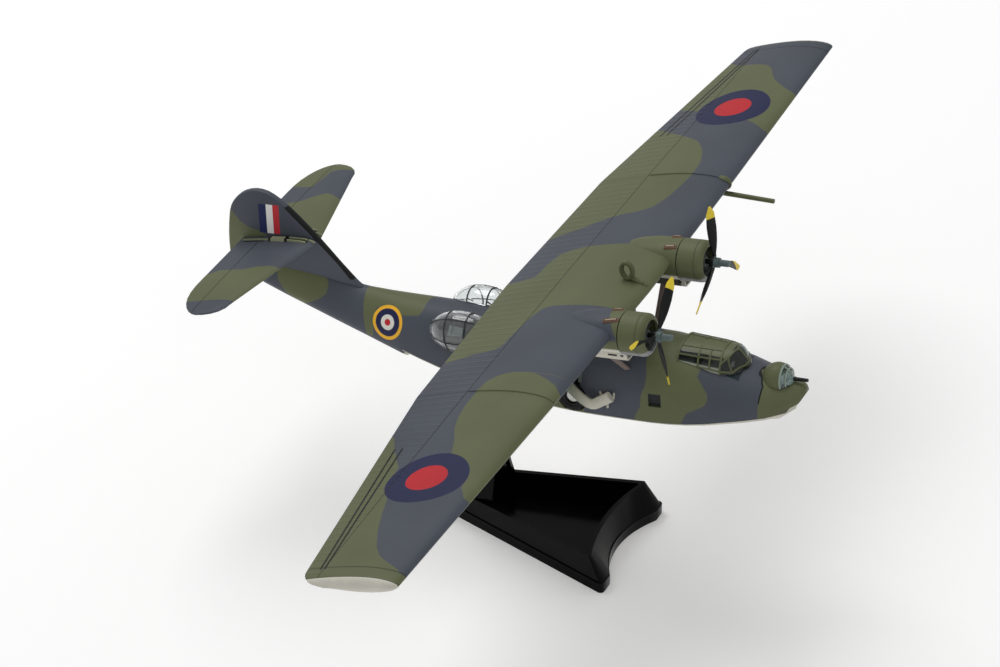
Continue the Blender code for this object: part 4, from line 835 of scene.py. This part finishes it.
def add_strip(mesh, skin, route, inward, width, height):
    """A strip with sloping edges along a route on a skin."""
    places, normals = lay(skin, route, inward)
    rings = []
    for k, (point, normal) in enumerate(zip(places, normals)):
        ahead = places[min(k + 1, len(places) - 1)] - places[max(k - 1, 0)]
        side = ahead.cross(normal).normalized() * width / 2
        top = point + normal * height
        foot = point - normal * STRIP_SINK
        rings.append((foot - side, top - side * 0.7, top + side * 0.7, foot + side))
    add_loft(mesh, rings)


def strip_piece(name, skin, strips, inward, material):
    """A piece made of strips on one skin. A strip is a route, a width and a height."""
    mesh = bmesh.new()
    for route, width, height in strips:
        add_strip(mesh, skin, route, inward, width, height)
    make_piece(name, mesh, material)


def down(place):
    return Vector((0, 0, -1))


def on_side(sign, place):
    """A place given on the starboard side, or its mirror image on the port side."""
    return Vector((-sign * place[0], *place[1:]))


def both_sides(route):
    return [[on_side(sign, place) for place in route] for sign in (-1, 1)]


# %% [markdown]
# Canopy frames
#
# The cockpit canopy has a rear arch, two arches that divide the side panes, a rail between the two rows of
# panes, and a windshield with a sloping top bar. They are raised ribs painted green, laid on the clear
# plastic.

# %% Canopy frames
CANOPY_AXIS_HEIGHT = 11.0
CANOPY_FRAME_HEIGHT = 0.14
CANOPY_LINES = (
    (((-5.0, 25.2, 14.6), (-4.6, 25.2, 16.4), (-2.2, 25.1, 17.9), (0.0, 25.1, 18.2)), 0.5),
    (((-5.0, 20.8, 14.4), (-3.7, 20.9, 16.8), (-1.4, 21.1, 17.8)), 0.45),
    (((-5.0, 16.3, 13.9), (-3.5, 16.2, 16.4), (-1.3, 16.4, 17.4), (0.0, 16.4, 17.5)), 0.5),
    (((-3.8, 25.0, 16.9), (-3.8, 20.8, 16.7), (-3.5, 16.4, 16.4)), 0.4),
    (((-5.0, 25.2, 15.4), (-4.9, 20.8, 15.1), (-4.9, 16.4, 14.5)), 0.4),
    (((-5.0, 18.4, 14.7), (-3.8, 18.5, 16.6), (-2.0, 18.7, 17.4)), 0.4),
    (((-2.1, 25.1, 17.9), (-1.9, 21.0, 17.7), (-1.6, 16.4, 17.4)), 0.35),
    (((-4.0, 16.1, 15.8), (-2.5, 14.8, 16.7), (-0.4, 14.0, 17.1), (0.0, 13.9, 17.1)), 0.5),
    (((-4.6, 16.2, 14.2), (-3.9, 13.9, 14.0), (-1.3, 12.1, 14.3), (0.0, 11.9, 14.4)), 0.5),
    (((-0.05, 13.9, 17.0), (-0.05, 12.8, 16.0), (-0.05, 12.0, 14.6)), 0.45),
    (((-3.9, 13.9, 14.0), (-2.9, 14.9, 16.3)), 0.4),
)


def towards_canopy(place):
    return Vector((0, 0, CANOPY_AXIS_HEIGHT)) - Vector((place.x, 0, place.z))


strips = [(one_side, width, CANOPY_FRAME_HEIGHT)
          for route, width in CANOPY_LINES for one_side in both_sides(route)]
strip_piece("canopy_frames", skin_of("cockpit_canopy"), strips, towards_canopy, olive_paint)
print("canopy frames:", 2 * len(CANOPY_LINES))

# %% [markdown]
# Blister frames
#
# Each waist blister is divided by two hoops and two lengthwise ribs, moulded as fine dark lines. Behind the
# glass stands a pale bulkhead panel, the part of the waist that the photograph shows.

# %% Blister frames
HOOP_STATIONS = (75.7, 71.1)
RIB_TURNS = (math.radians(62), math.radians(-8))
BLISTER_REACH = (4.0, 7.3, 4.6)
HOOP_REACH = 5
HOOP_TURNS = range(-50, 166, 12)
HOOP_SECTION = (0.34, 0.1)
RIB_SECTION = (0.26, 0.08)
WAIST_PANEL = ((-3.2, 77.3, 16.4), (-2.5, 74.9, 15.6), (-3.3, 74.9, 13.9), (-4.3, 77.7, 14.6))
WAIST_PANEL_DEPTH = (0.9, 0, -0.5)


def hoop_route(sign, station):
    """Places around a blister at one station. The turn is measured from straight out, upwards."""
    places = []
    for turn in HOOP_TURNS:
        angle = math.radians(turn)
        places.append((sign * (WAIST_PLACE[0] + HOOP_REACH * math.cos(angle)), station,
                       WAIST_PLACE[2] + HOOP_REACH * math.sin(angle)))
    return places


def rib_route(sign, turn):
    """Places along a blister, at one turn about its long axis."""
    places = []
    for k in range(-11, 12):
        share = k / 12
        reach = math.sqrt(1 - share**2)
        places.append((sign * (WAIST_PLACE[0] + BLISTER_REACH[0] * reach * math.cos(turn)),
                       WAIST_PLACE[1] + BLISTER_REACH[1] * share,
                       WAIST_PLACE[2] + BLISTER_REACH[2] * reach * math.sin(turn)))
    return places


frame_grey = painted("blister_frame_dark_grey_paint", plain_recipe(shade("#2A3234")))
for side, sign in SIDES.items():
    strips = [(hoop_route(sign, station), *HOOP_SECTION) for station in HOOP_STATIONS]
    strips += [(rib_route(sign, turn), *RIB_SECTION) for turn in RIB_TURNS]
    axis = Vector((sign * WAIST_PLACE[0], 0, WAIST_PLACE[2]))
    strip_piece(f"blister_frames_{side}", skin_of(f"blister_{side}"), strips,
                lambda place: axis - Vector((place.x, 0, place.z)), frame_grey)

waist_grey = painted("waist_panel_pale_grey_paint", plain_recipe(shade("#A9B8B8")))
for side, sign in SIDES.items():
    mesh = bmesh.new()
    front = [on_side(sign, place) for place in WAIST_PANEL]
    back = [place + on_side(sign, WAIST_PANEL_DEPTH) for place in front]
    add_loft(mesh, [front, back])
    make_piece(f"waist_panel_{side}", mesh, waist_grey)
print("blister hoops and ribs:", 2 * (len(HOOP_STATIONS) + len(RIB_TURNS)))

# %% [markdown]
# Engines
#
# Each cowl holds a radial engine: nine air-cooled cylinders round a crankcase. One finned cylinder is made
# of discs on a barrel, and Geometry Nodes sets nine of them round the ring, each turned to point outwards.

# %% Engines
CYLINDERS = 9
FINS = 9
BARREL_RADIUS = 0.62
FIN_RADIUS = 0.86
FIN_SHARE = 0.45
BARREL_FOOT = 1.2
BARREL_LENGTH = 2.2
CRANKCASE_RADIUS = 1.5
SHAFT_HOLE = 0.62
ENGINE_STATION = 27.3
CRANKCASE = ((-1.7, SHAFT_HOLE), (-1.7, 0.95), (-1.2, CRANKCASE_RADIUS * 0.92), (-0.9, CRANKCASE_RADIUS),
             (1.2, CRANKCASE_RADIUS), (2.9, 1.1), (2.9, SHAFT_HOLE))


def engine_tree(material):
    """A node group that sets finned cylinders in a ring about Z."""
    tree = bpy.data.node_groups.new("ring_of_finned_cylinders", "GeometryNodeTree")
    tree.interface.new_socket("Geometry", in_out="INPUT", socket_type="NodeSocketGeometry")
    cylinders = tree.interface.new_socket("Cylinders", in_out="INPUT", socket_type="NodeSocketInt")
    fins = tree.interface.new_socket("Fins", in_out="INPUT", socket_type="NodeSocketInt")
    tree.interface.new_socket("Geometry", in_out="OUTPUT", socket_type="NodeSocketGeometry")
    start = add(tree, "NodeGroupInput")
    pitch = BARREL_LENGTH / FINS
    line = add(tree, "GeometryNodeMeshLine", sockets={
        "Count": start.outputs["Fins"], "Start Location": (0, 0, BARREL_FOOT + pitch / 2),
        "Offset": (0, 0, pitch)})
    fin = add(tree, "GeometryNodeMeshCylinder", sockets={
        "Vertices": 18, "Radius": FIN_RADIUS, "Depth": pitch * FIN_SHARE})
    stack = add(tree, "GeometryNodeInstanceOnPoints", sockets={"Points": line, "Instance": fin})
    barrel = add(tree, "GeometryNodeMeshCylinder", sockets={
        "Vertices": 18, "Radius": BARREL_RADIUS, "Depth": BARREL_LENGTH})
    barrel = add(tree, "GeometryNodeTransform", sockets={
        "Geometry": barrel, "Translation": (0, 0, BARREL_FOOT + BARREL_LENGTH / 2)})
    one = add(tree, "GeometryNodeJoinGeometry")
    tree.links.new(stack.outputs["Instances"], one.inputs["Geometry"])
    tree.links.new(barrel.outputs["Geometry"], one.inputs["Geometry"])
    ring = add(tree, "GeometryNodeMeshCircle", sockets={
        "Vertices": start.outputs["Cylinders"], "Radius": 1.0})
    place = add(tree, "GeometryNodeInputPosition")
    outward = add(tree, "FunctionNodeAlignRotationToVector", axis="Z", sockets={"Vector": place})
    to_centre = add(tree, "ShaderNodeVectorMath", place, sockets={"Scale": -1.0}, operation="SCALE")
    spread = add(tree, "GeometryNodeInstanceOnPoints", sockets={
        "Points": ring, "Instance": one, "Rotation": outward})
    centred = add(tree, "GeometryNodeTranslateInstances", sockets={
        "Instances": spread, "Translation": to_centre, "Local Space": False})
    real = add(tree, "GeometryNodeRealizeInstances", sockets={"Geometry": centred})
    finish = add(tree, "GeometryNodeSetMaterial", sockets={"Geometry": real, "Material": material})
    end = add(tree, "NodeGroupOutput")
    tree.links.new(finish.outputs["Geometry"], end.inputs["Geometry"])
    return tree, {cylinders.identifier: CYLINDERS, fins.identifier: FINS}


def made_by_nodes(name, group, values):
    """Run a node group once and keep its mesh."""
    holder = bpy.data.objects.new(name, bpy.data.meshes.new(name))
    scene.collection.objects.link(holder)
    modifier = holder.modifiers.new("pattern", "NODES")
    modifier.node_group = group
    for identifier, value in values.items():
        modifier[identifier] = value
    evaluated = holder.evaluated_get(bpy.context.evaluated_depsgraph_get())
    kept = bpy.data.meshes.new_from_object(evaluated)
    bpy.data.objects.remove(holder)
    return kept


group, group_values = engine_tree(engine_paint)
ring_mesh = made_by_nodes("finned_cylinders", group, group_values)
for side, sign in SIDES.items():
    mesh = bmesh.new()
    mesh.from_mesh(ring_mesh)
    centre = (sign * PROPELLER_AXIS[0], ENGINE_STATION, PROPELLER_AXIS[1])
    facing = (Matrix.Translation(centre)
              @ Matrix.Rotation(math.radians(90), 4, "X") @ Matrix.Rotation(math.radians(90), 4, "Z"))
    bmesh.ops.transform(mesh, matrix=facing, verts=mesh.verts)
    turned(mesh, centre, CRANKCASE)
    make_piece(f"radial_engine_{side}", mesh, engine_paint, replaces=[f"engine_{side}"])
print("engine ring faces:", len(ring_mesh.polygons))

# %% [markdown]
# Nacelles
#
# The housing behind each cowl fades into the wing, with flat flanks that end in a crease. The solid is
# replaced by a finer skin with more rings, which runs on into the wing, so no gap shows where the two meet.

# %% Nacelles
NACELLE_START = 30.55
NACELLE_LENGTH = 21.5
COWL_RADIUS = 4.35
NACELLE_ABOVE = ((0.0, 0.98), (0.15, 0.955), (0.35, 0.85), (0.5, 0.7), (0.65, 0.51), (0.8, 0.33), (1.0, 0.12))
NACELLE_BELOW = ((0.0, 0.98), (0.25, 0.93), (0.5, 0.76), (0.8, 0.5), (1.0, 0.3))
NACELLE_HALF = ((0.0, 0.98), (0.2, 1.0), (0.4, 0.9), (0.6, 0.58), (0.8, 0.32), (1.0, 0.1))
NACELLE_SQUARE = ((0.0, 2.0), (0.3, 2.4), (1.0, 2.4))
NACELLE_RINGS = 48
NACELLE_SIDES = 56


def eased(points, share):
    """The value at a share of a table, straight between its points."""
    for (low, a), (high, b) in zip(points, points[1:]):
        if share <= high:
            t = (share - low) / (high - low)
            return a + (b - a) * t
    return points[-1][1]


def rounded(points, share, reach=0.08):
    """The same, averaged over a short reach so that the skin has no kinks."""
    samples = [eased(points, min(1.0, max(0.0, share + reach * k / 4))) for k in range(-4, 5)]
    return sum(samples) / len(samples)


def powered(value, power):
    """A power that keeps the sign, which squares off a ring's corners."""
    return math.copysign(abs(value) ** power, value)


for side, sign in SIDES.items():
    rings = []
    for k in range(NACELLE_RINGS):
        share = k / (NACELLE_RINGS - 1)
        power = 2 / rounded(NACELLE_SQUARE, share)
        ring = []
        for j in range(NACELLE_SIDES):
            angle = 2 * math.pi * j / NACELLE_SIDES
            up = powered(math.cos(angle), power)
            reach = rounded(NACELLE_ABOVE if up > 0 else NACELLE_BELOW, share)
            across = COWL_RADIUS * rounded(NACELLE_HALF, share) * powered(math.sin(angle), power)
            ring.append((sign * PROPELLER_AXIS[0] + across, NACELLE_START + NACELLE_LENGTH * share,
                         PROPELLER_AXIS[1] + COWL_RADIUS * reach * up))
        rings.append(ring)
    mesh = bmesh.new()
    add_loft(mesh, rings)
    make_piece(f"nacelle_skin_{side}", mesh, nacelle_paint, replaces=[f"nacelle_{side}"])
print("nacelle rings:", NACELLE_RINGS)

# %% [markdown]
# Exhausts and coolers
#
# Two exhaust outlets lie on the top of each nacelle: a heat-stained rim round a dark slot, with a lighter
# pipe in the middle. The oil cooler under each nacelle has a row of dark slots in its side.

# %% Exhausts and cooler slots
EXHAUSTS = {
    "starboard": (((-16.7, 33.8, 31.3), (-16.0, 30.7, 31.5)), ((-12.9, 33.4, 31.6), (-12.4, 31.2, 31.5))),
    "port": (((12.1, 33.5, 31.4), (12.5, 30.9, 31.5)), ((15.8, 33.3, 31.6), (16.3, 31.2, 31.4))),
}
EXHAUST_LAYERS = (("rim", 1.15, 0.16, 0.0), ("slot", 0.72, 0.2, 0.25), ("pipe", 0.3, 0.3, 0.45))
exhaust_finishes = {
    "rim": painted("heat_stained_brown_enamel", plain_recipe(shade("#735441"))),
    # Plain black for the exhaust slots and the cooler slots.
    "slot": painted("slot_black_matt_enamel", plain_recipe(shade("#23201D"))),
    "pipe": painted("pale_exhaust_enamel", plain_recipe(shade("#B7A48C"))),
}
COOLER_SLOTS = ((34.2, 32.3), (31.5, 30.9))
COOLER_SLOT_HEIGHT = 23.1
COOLER_SIDES = (-3, 3)
COOLER_SLOT_SECTION = (0.5, 0.05)


def trimmed(route, margin):
    """A straight route made shorter at both ends."""
    start, end = Vector(route[0]), Vector(route[1])
    along = (end - start).normalized() * margin
    return start + along, end - along


for side, sign in SIDES.items():
    skin = skin_of(f"nacelle_{side}", f"cowl_{side}", "wing_centre")
    for layer, width, height, margin in EXHAUST_LAYERS:
        strips = [(trimmed(route, margin), width, height) for route in EXHAUSTS[side]]
        slot = "black_paint" if layer == "slot" else "camouflage_paint"
        strip_piece(f"exhaust_{layer}_{side}", skin, strips, down, exhaust_finishes[layer])
    centre = sign * PROPELLER_AXIS[0]
    strips = [([(centre + reach, end, COOLER_SLOT_HEIGHT) for end in ends], *COOLER_SLOT_SECTION)
              for reach in COOLER_SIDES for ends in COOLER_SLOTS]
    strip_piece(f"cooler_slots_{side}", skin_of(f"oil_cooler_{side}"), strips,
                lambda place: Vector((centre - place.x, 0, 0)), exhaust_finishes["slot"])
print("exhausts:", sum(len(routes) for routes in EXHAUSTS.values()))

# %% [markdown]
# Landing gear
#
# The main wheels lie drawn up against the hull. Each is a tyre with a square shoulder round a sunk white
# disc, whose wall is painted black as painted shade. The leg ends in a fork with small lugs on the hull, and
# its end under the wing is painted darker as painted shade. A strut stands in the channel behind it, and a
# black strip on the hull is painted shade in that channel.

# %% Wheels and lugs
WHEEL_STATION = 47.5
WHEEL_HEIGHT = 7.4
WHEEL_RADIUS = 3.0
GEAR_RODS = (
    ((-9.5, 41.1, 9.4), (-10.2, 40.6, 8.2), 0.24), ((-10.1, 39.5, 7.6), (-10.4, 39.5, 6.2), 0.26),
    ((-9.5, 38.0, 9.4), (-10.2, 38.0, 8.3), 0.24), ((-9.6, 39.3, 9.0), (-10.5, 38.7, 7.9), 0.34),
)
CHANNEL_STATION = 45.9
CHANNEL_WIDTH = 3.8
CHANNEL_ENDS = (8.4, 15.2)
CHANNEL_STRUT = ((-7.6, 45.5, 14.2), (-9.3, 45.5, 10.8), 0.4)
HUB_FLOOR_SHARE = 0.42
# Painted shade: the station behind which the leg darkens under the wing.
LEG_SHADE_STATION = 44.0
# Profiles as (depth from the outer face, share of the wheel's radius).
TYRE = ((-2.2, 0.9), (-2.2, 0.56), (-0.3, 0.56), (0.0, 0.64), (0.0, 0.84), (-0.25, 0.95), (-0.6, 1.0),
        (-1.8, 1.0))
HUB = ((-2.1, 0.02), (-2.1, 0.58), (-0.25, 0.58), (-0.25, 0.54), (-0.85, 0.53), (-0.95, 0.02))


def hub_white_and_shade_recipe(tree, place, x, y, z):
    """White on the floor of the dish, and black on its wall as painted shade in the dish."""
    reach = distance_from(tree, y, z, (WHEEL_STATION, WHEEL_HEIGHT))
    # Painted shade: black outside the white floor, for the shade in the dished hub.
    floor = below(tree, reach, WHEEL_RADIUS * HUB_FLOOR_SHARE, 0.1)
    return paint_over(tree, shade("#121213"), (floor, shade("#E4E3DE"))), 0.0


def leg_pale_and_shade_recipe(tree, place, x, y, z):
    """Pale paint, turning grey-green at the end under the wing as painted shade from the wing."""
    # Painted shade at the leg's end under the wing.
    end = below(tree, LEG_SHADE_STATION, y, 5.0)
    return paint_over(tree, shade("#B9B7AA"), (end, shade("#666A5A"))), 0.0


hub_white_and_shade = painted("wheel_hub_white_enamel_with_painted_shade", hub_white_and_shade_recipe, roughness=0.35, sheen=0.5)
leg_paint_and_shade = painted("leg_pale_enamel_with_painted_shade", leg_pale_and_shade_recipe)
strut_green = painted("strut_grey_green_enamel", plain_recipe(shade("#5F6A66")))
WHEEL_PIECES = (("tyre", TYRE, tyre_and_channel_shade_black, "tyre_black", "main_tyre"),
                ("dished_hub", HUB, hub_white_and_shade, "pale_paint", "wheel_hub"))
ROD_PIECES = (("gear_lugs", GEAR_RODS, leg_paint_and_shade), ("channel_strut", (CHANNEL_STRUT,), strut_green))
for side, sign in SIDES.items():
    nodes[f"main_leg_{side}"].data.materials[0] = leg_paint_and_shade
    corners = [TO_AIRCRAFT @ vertex.co for vertex in nodes[f"main_tyre_{side}"].data.vertices]
    face = max(abs(corner.x) for corner in corners)
    for name, profile, finish, slot, solid in WHEEL_PIECES:
        mesh = bmesh.new()
        turned(mesh, (sign * face, WHEEL_STATION, WHEEL_HEIGHT),
               [(sign * depth, WHEEL_RADIUS * share) for depth, share in profile], axis="X")
        make_piece(f"{name}_{side}", mesh, finish, replaces=[f"{solid}_{side}"])
    for name, rods, finish in ROD_PIECES:
        mesh = bmesh.new()
        for start, end, radius in rods:
            add_rod(mesh, on_side(sign, start), on_side(sign, end), radius)
        make_piece(f"{name}_{side}", mesh, finish)
    # Painted shade: a black strip on the hull for the shade in the channel behind the leg.
    route = [(sign * 12, CHANNEL_STATION, height) for height in CHANNEL_ENDS]
    strip_piece(f"channel_shade_sheet_{side}", skin_of("hull"), [(route, CHANNEL_WIDTH, 0.05)],
                lambda place: Vector((-place.x, 0, 0)), tyre_and_channel_shade_black)
print("wheels and gear rods:", 2 * (len(GEAR_RODS) + 1))

# %% [markdown]
# Wing joints and tail fittings
#
# Each outer wing panel meets the centre section under a raised ridge. It is painted with the wing, so the
# camouflage runs over it. At the foot of the fin a small fairing and a pair of rails run along the
# tailplane.

# %% Ridges, rails and fairings
JOINT = 42.78
WING_MIDDLE = 26.5
# Rear end, front end, height that the strip is laid from, and its width and height.
JOINT_STRIPS = ((63.6, 32.2, 28, 0.5, 0.03), (63.6, 32.2, 25, 0.5, 0.03), (50.6, 32.6, 28, 0.75, 0.22))
# Place across, rear end, front end, width and height.
RAILS = ((-1.5, 113.3, 108.9, 0.42, 0.4), (-2.5, 113.3, 108.9, 0.42, 0.4), (-1.5, 108.6, 107.4, 0.36, 0.4),
         (-2.3, 124.4, 117.9, 0.3, 0.3), (-2.1, 117.3, 113.9, 1.5, 0.5))
DARK_RAILS = ((-2.0, 113.3, 108.9, 0.5, 0.2), (-2.8, 124.0, 119.0, 0.25, 0.1),
              (-2.1, 117.7, 117.35, 1.8, 0.6), (-2.1, 113.8, 113.4, 1.8, 0.6))
OVER_TAILPLANE = 32

strips = [([(sign * JOINT, rear, start), (sign * JOINT, front, start)], width, height)
          for sign in SIDES.values() for rear, front, start, width, height in JOINT_STRIPS]
strip_piece("wing_joint_ridges", skin_of("wing_centre", "wing_outer_port", "wing_outer_starboard"), strips,
            lambda place: Vector((0, 0, WING_MIDDLE - place.z)), wing_paint)

tail_skin = skin_of("tailplane_port", "tailplane_starboard", "tail_fin", "hull")
fitting_olive = painted("tail_fitting_pale_green_enamel", plain_recipe(shade("#8A8F72")))
for name, rails, finish in (("tail_rails", RAILS, fitting_olive), ("tail_rail_gaps", DARK_RAILS, gun_black)):
    strips = [(one_side, width, height) for across, rear, front, width, height in rails
              for one_side in both_sides([(across, rear, OVER_TAILPLANE), (across, front, OVER_TAILPLANE)])]
    strip_piece(name, tail_skin, strips, down, finish)
print("rails and gaps:", 2 * (len(RAILS) + len(DARK_RAILS)))

# %% [markdown]
# Bow turret frames
#
# The turret's glazed nose is crossed by pale ribs: two hoops towards the dome, and one upright in front.

# %% Turret frames
TURRET_PLACE = (0.0, 5.9, 11.4)
TURRET_RADIUS = 3.3
TURRET_RIBS = (((-100, 100, 1.45), 0.5), ((-100, 100, 2.4), 0.4), ((20, 70), 0.45))
TURRET_RIB_HEIGHT = 0.12


def towards_turret(place):
    return Vector(TURRET_PLACE) - place


def turret_arc(first, last, station=None):
    """Places on the turret's ball, on a hoop at one station or on an upright arc."""
    places = []
    for turn in range(first, last + 1, 10):
        angle = math.radians(turn)
        if station is None:
            offset = (0.0, -TURRET_RADIUS * math.cos(angle), TURRET_RADIUS * math.sin(angle))
        else:
            reach = math.sqrt(TURRET_RADIUS**2 - station**2)
            offset = (reach * math.sin(angle), -station, reach * math.cos(angle))
        places.append(Vector(TURRET_PLACE) + Vector(offset))
    return places


glaze_frame = painted("turret_frame_pale_green_enamel", plain_recipe(shade("#8B9A8E")))
strips = [(turret_arc(*arc), width, TURRET_RIB_HEIGHT) for arc, width in TURRET_RIBS]
strip_piece("turret_frames", skin_of("turret_glazing", "bow_turret"), strips, towards_turret, glaze_frame)
print("turret ribs:", len(strips))

# %% [markdown]
# Aerial loop and braces
#
# The direction-finding loop over the cockpit end of the wing is taller than it is long, with a short stalk
# that runs forward. A streamlined brace leans from each side of the hull's back up to the oil cooler. Both
# are swept along a route with one ring of points per step.

# %% Loop and braces
LOOP_PLACE = (0.0, 36.0, 32.7)
LOOP_REACH = (1.2, 1.75)
LOOP_WIRE = (0.5, 0.62)
LOOP_STEPS = 36
STALK = ((0.0, 35.4, 31.2), (0.0, 34.2, 30.5), (0.0, 33.0, 29.9), (0.0, 32.2, 29.3))
STALK_RADIUS = 0.55
BRACE = ((-7.4, 35.5, 14.3), (-14.0, 35.5, 21.9))
BRACE_CHORD = 1.7
BRACE_THICKNESS = 0.8
WIRE_SIDES = 14


def oval_ring(place, first, second, half_first, half_second):
    """One ring of a rod: an oval with its axes along two directions."""
    turns = (2 * math.pi * k / WIRE_SIDES for k in range(WIRE_SIDES))
    return [Vector(place) + Vector(first) * half_first * math.cos(turn)
            + Vector(second) * half_second * math.sin(turn) for turn in turns]


mesh = bmesh.new()
rings = []
for k in range(LOOP_STEPS):
    turn = 2 * math.pi * k / LOOP_STEPS
    outward = Vector((0, math.sin(turn), math.cos(turn)))
    centre = Vector(LOOP_PLACE) + Vector((0, LOOP_REACH[0] * outward.y, LOOP_REACH[1] * outward.z))
    rings.append(oval_ring(centre, outward, (1, 0, 0), *LOOP_WIRE))
add_loft(mesh, rings, ring_closes=True)
for start, end in zip(STALK, STALK[1:]):
    add_rod(mesh, start, end, STALK_RADIUS)
make_piece("aerial_loop", mesh, olive_paint, replaces=["aerial_ring"])

brace_paint = painted("brace_brown_grey_enamel", plain_recipe(shade("#7C6E69")))
for side, sign in SIDES.items():
    low, high = (on_side(sign, place) for place in BRACE)
    square = (high - low).normalized().cross(Vector((0, 1, 0)))
    mesh = bmesh.new()
    add_loft(mesh, [oval_ring(end, square, (0, 1, 0), BRACE_THICKNESS / 2, BRACE_CHORD / 2)
                    for end in (low, high)])
    make_piece(f"shoulder_brace_{side}", mesh, brace_paint)
print("loop rings:", len(rings))
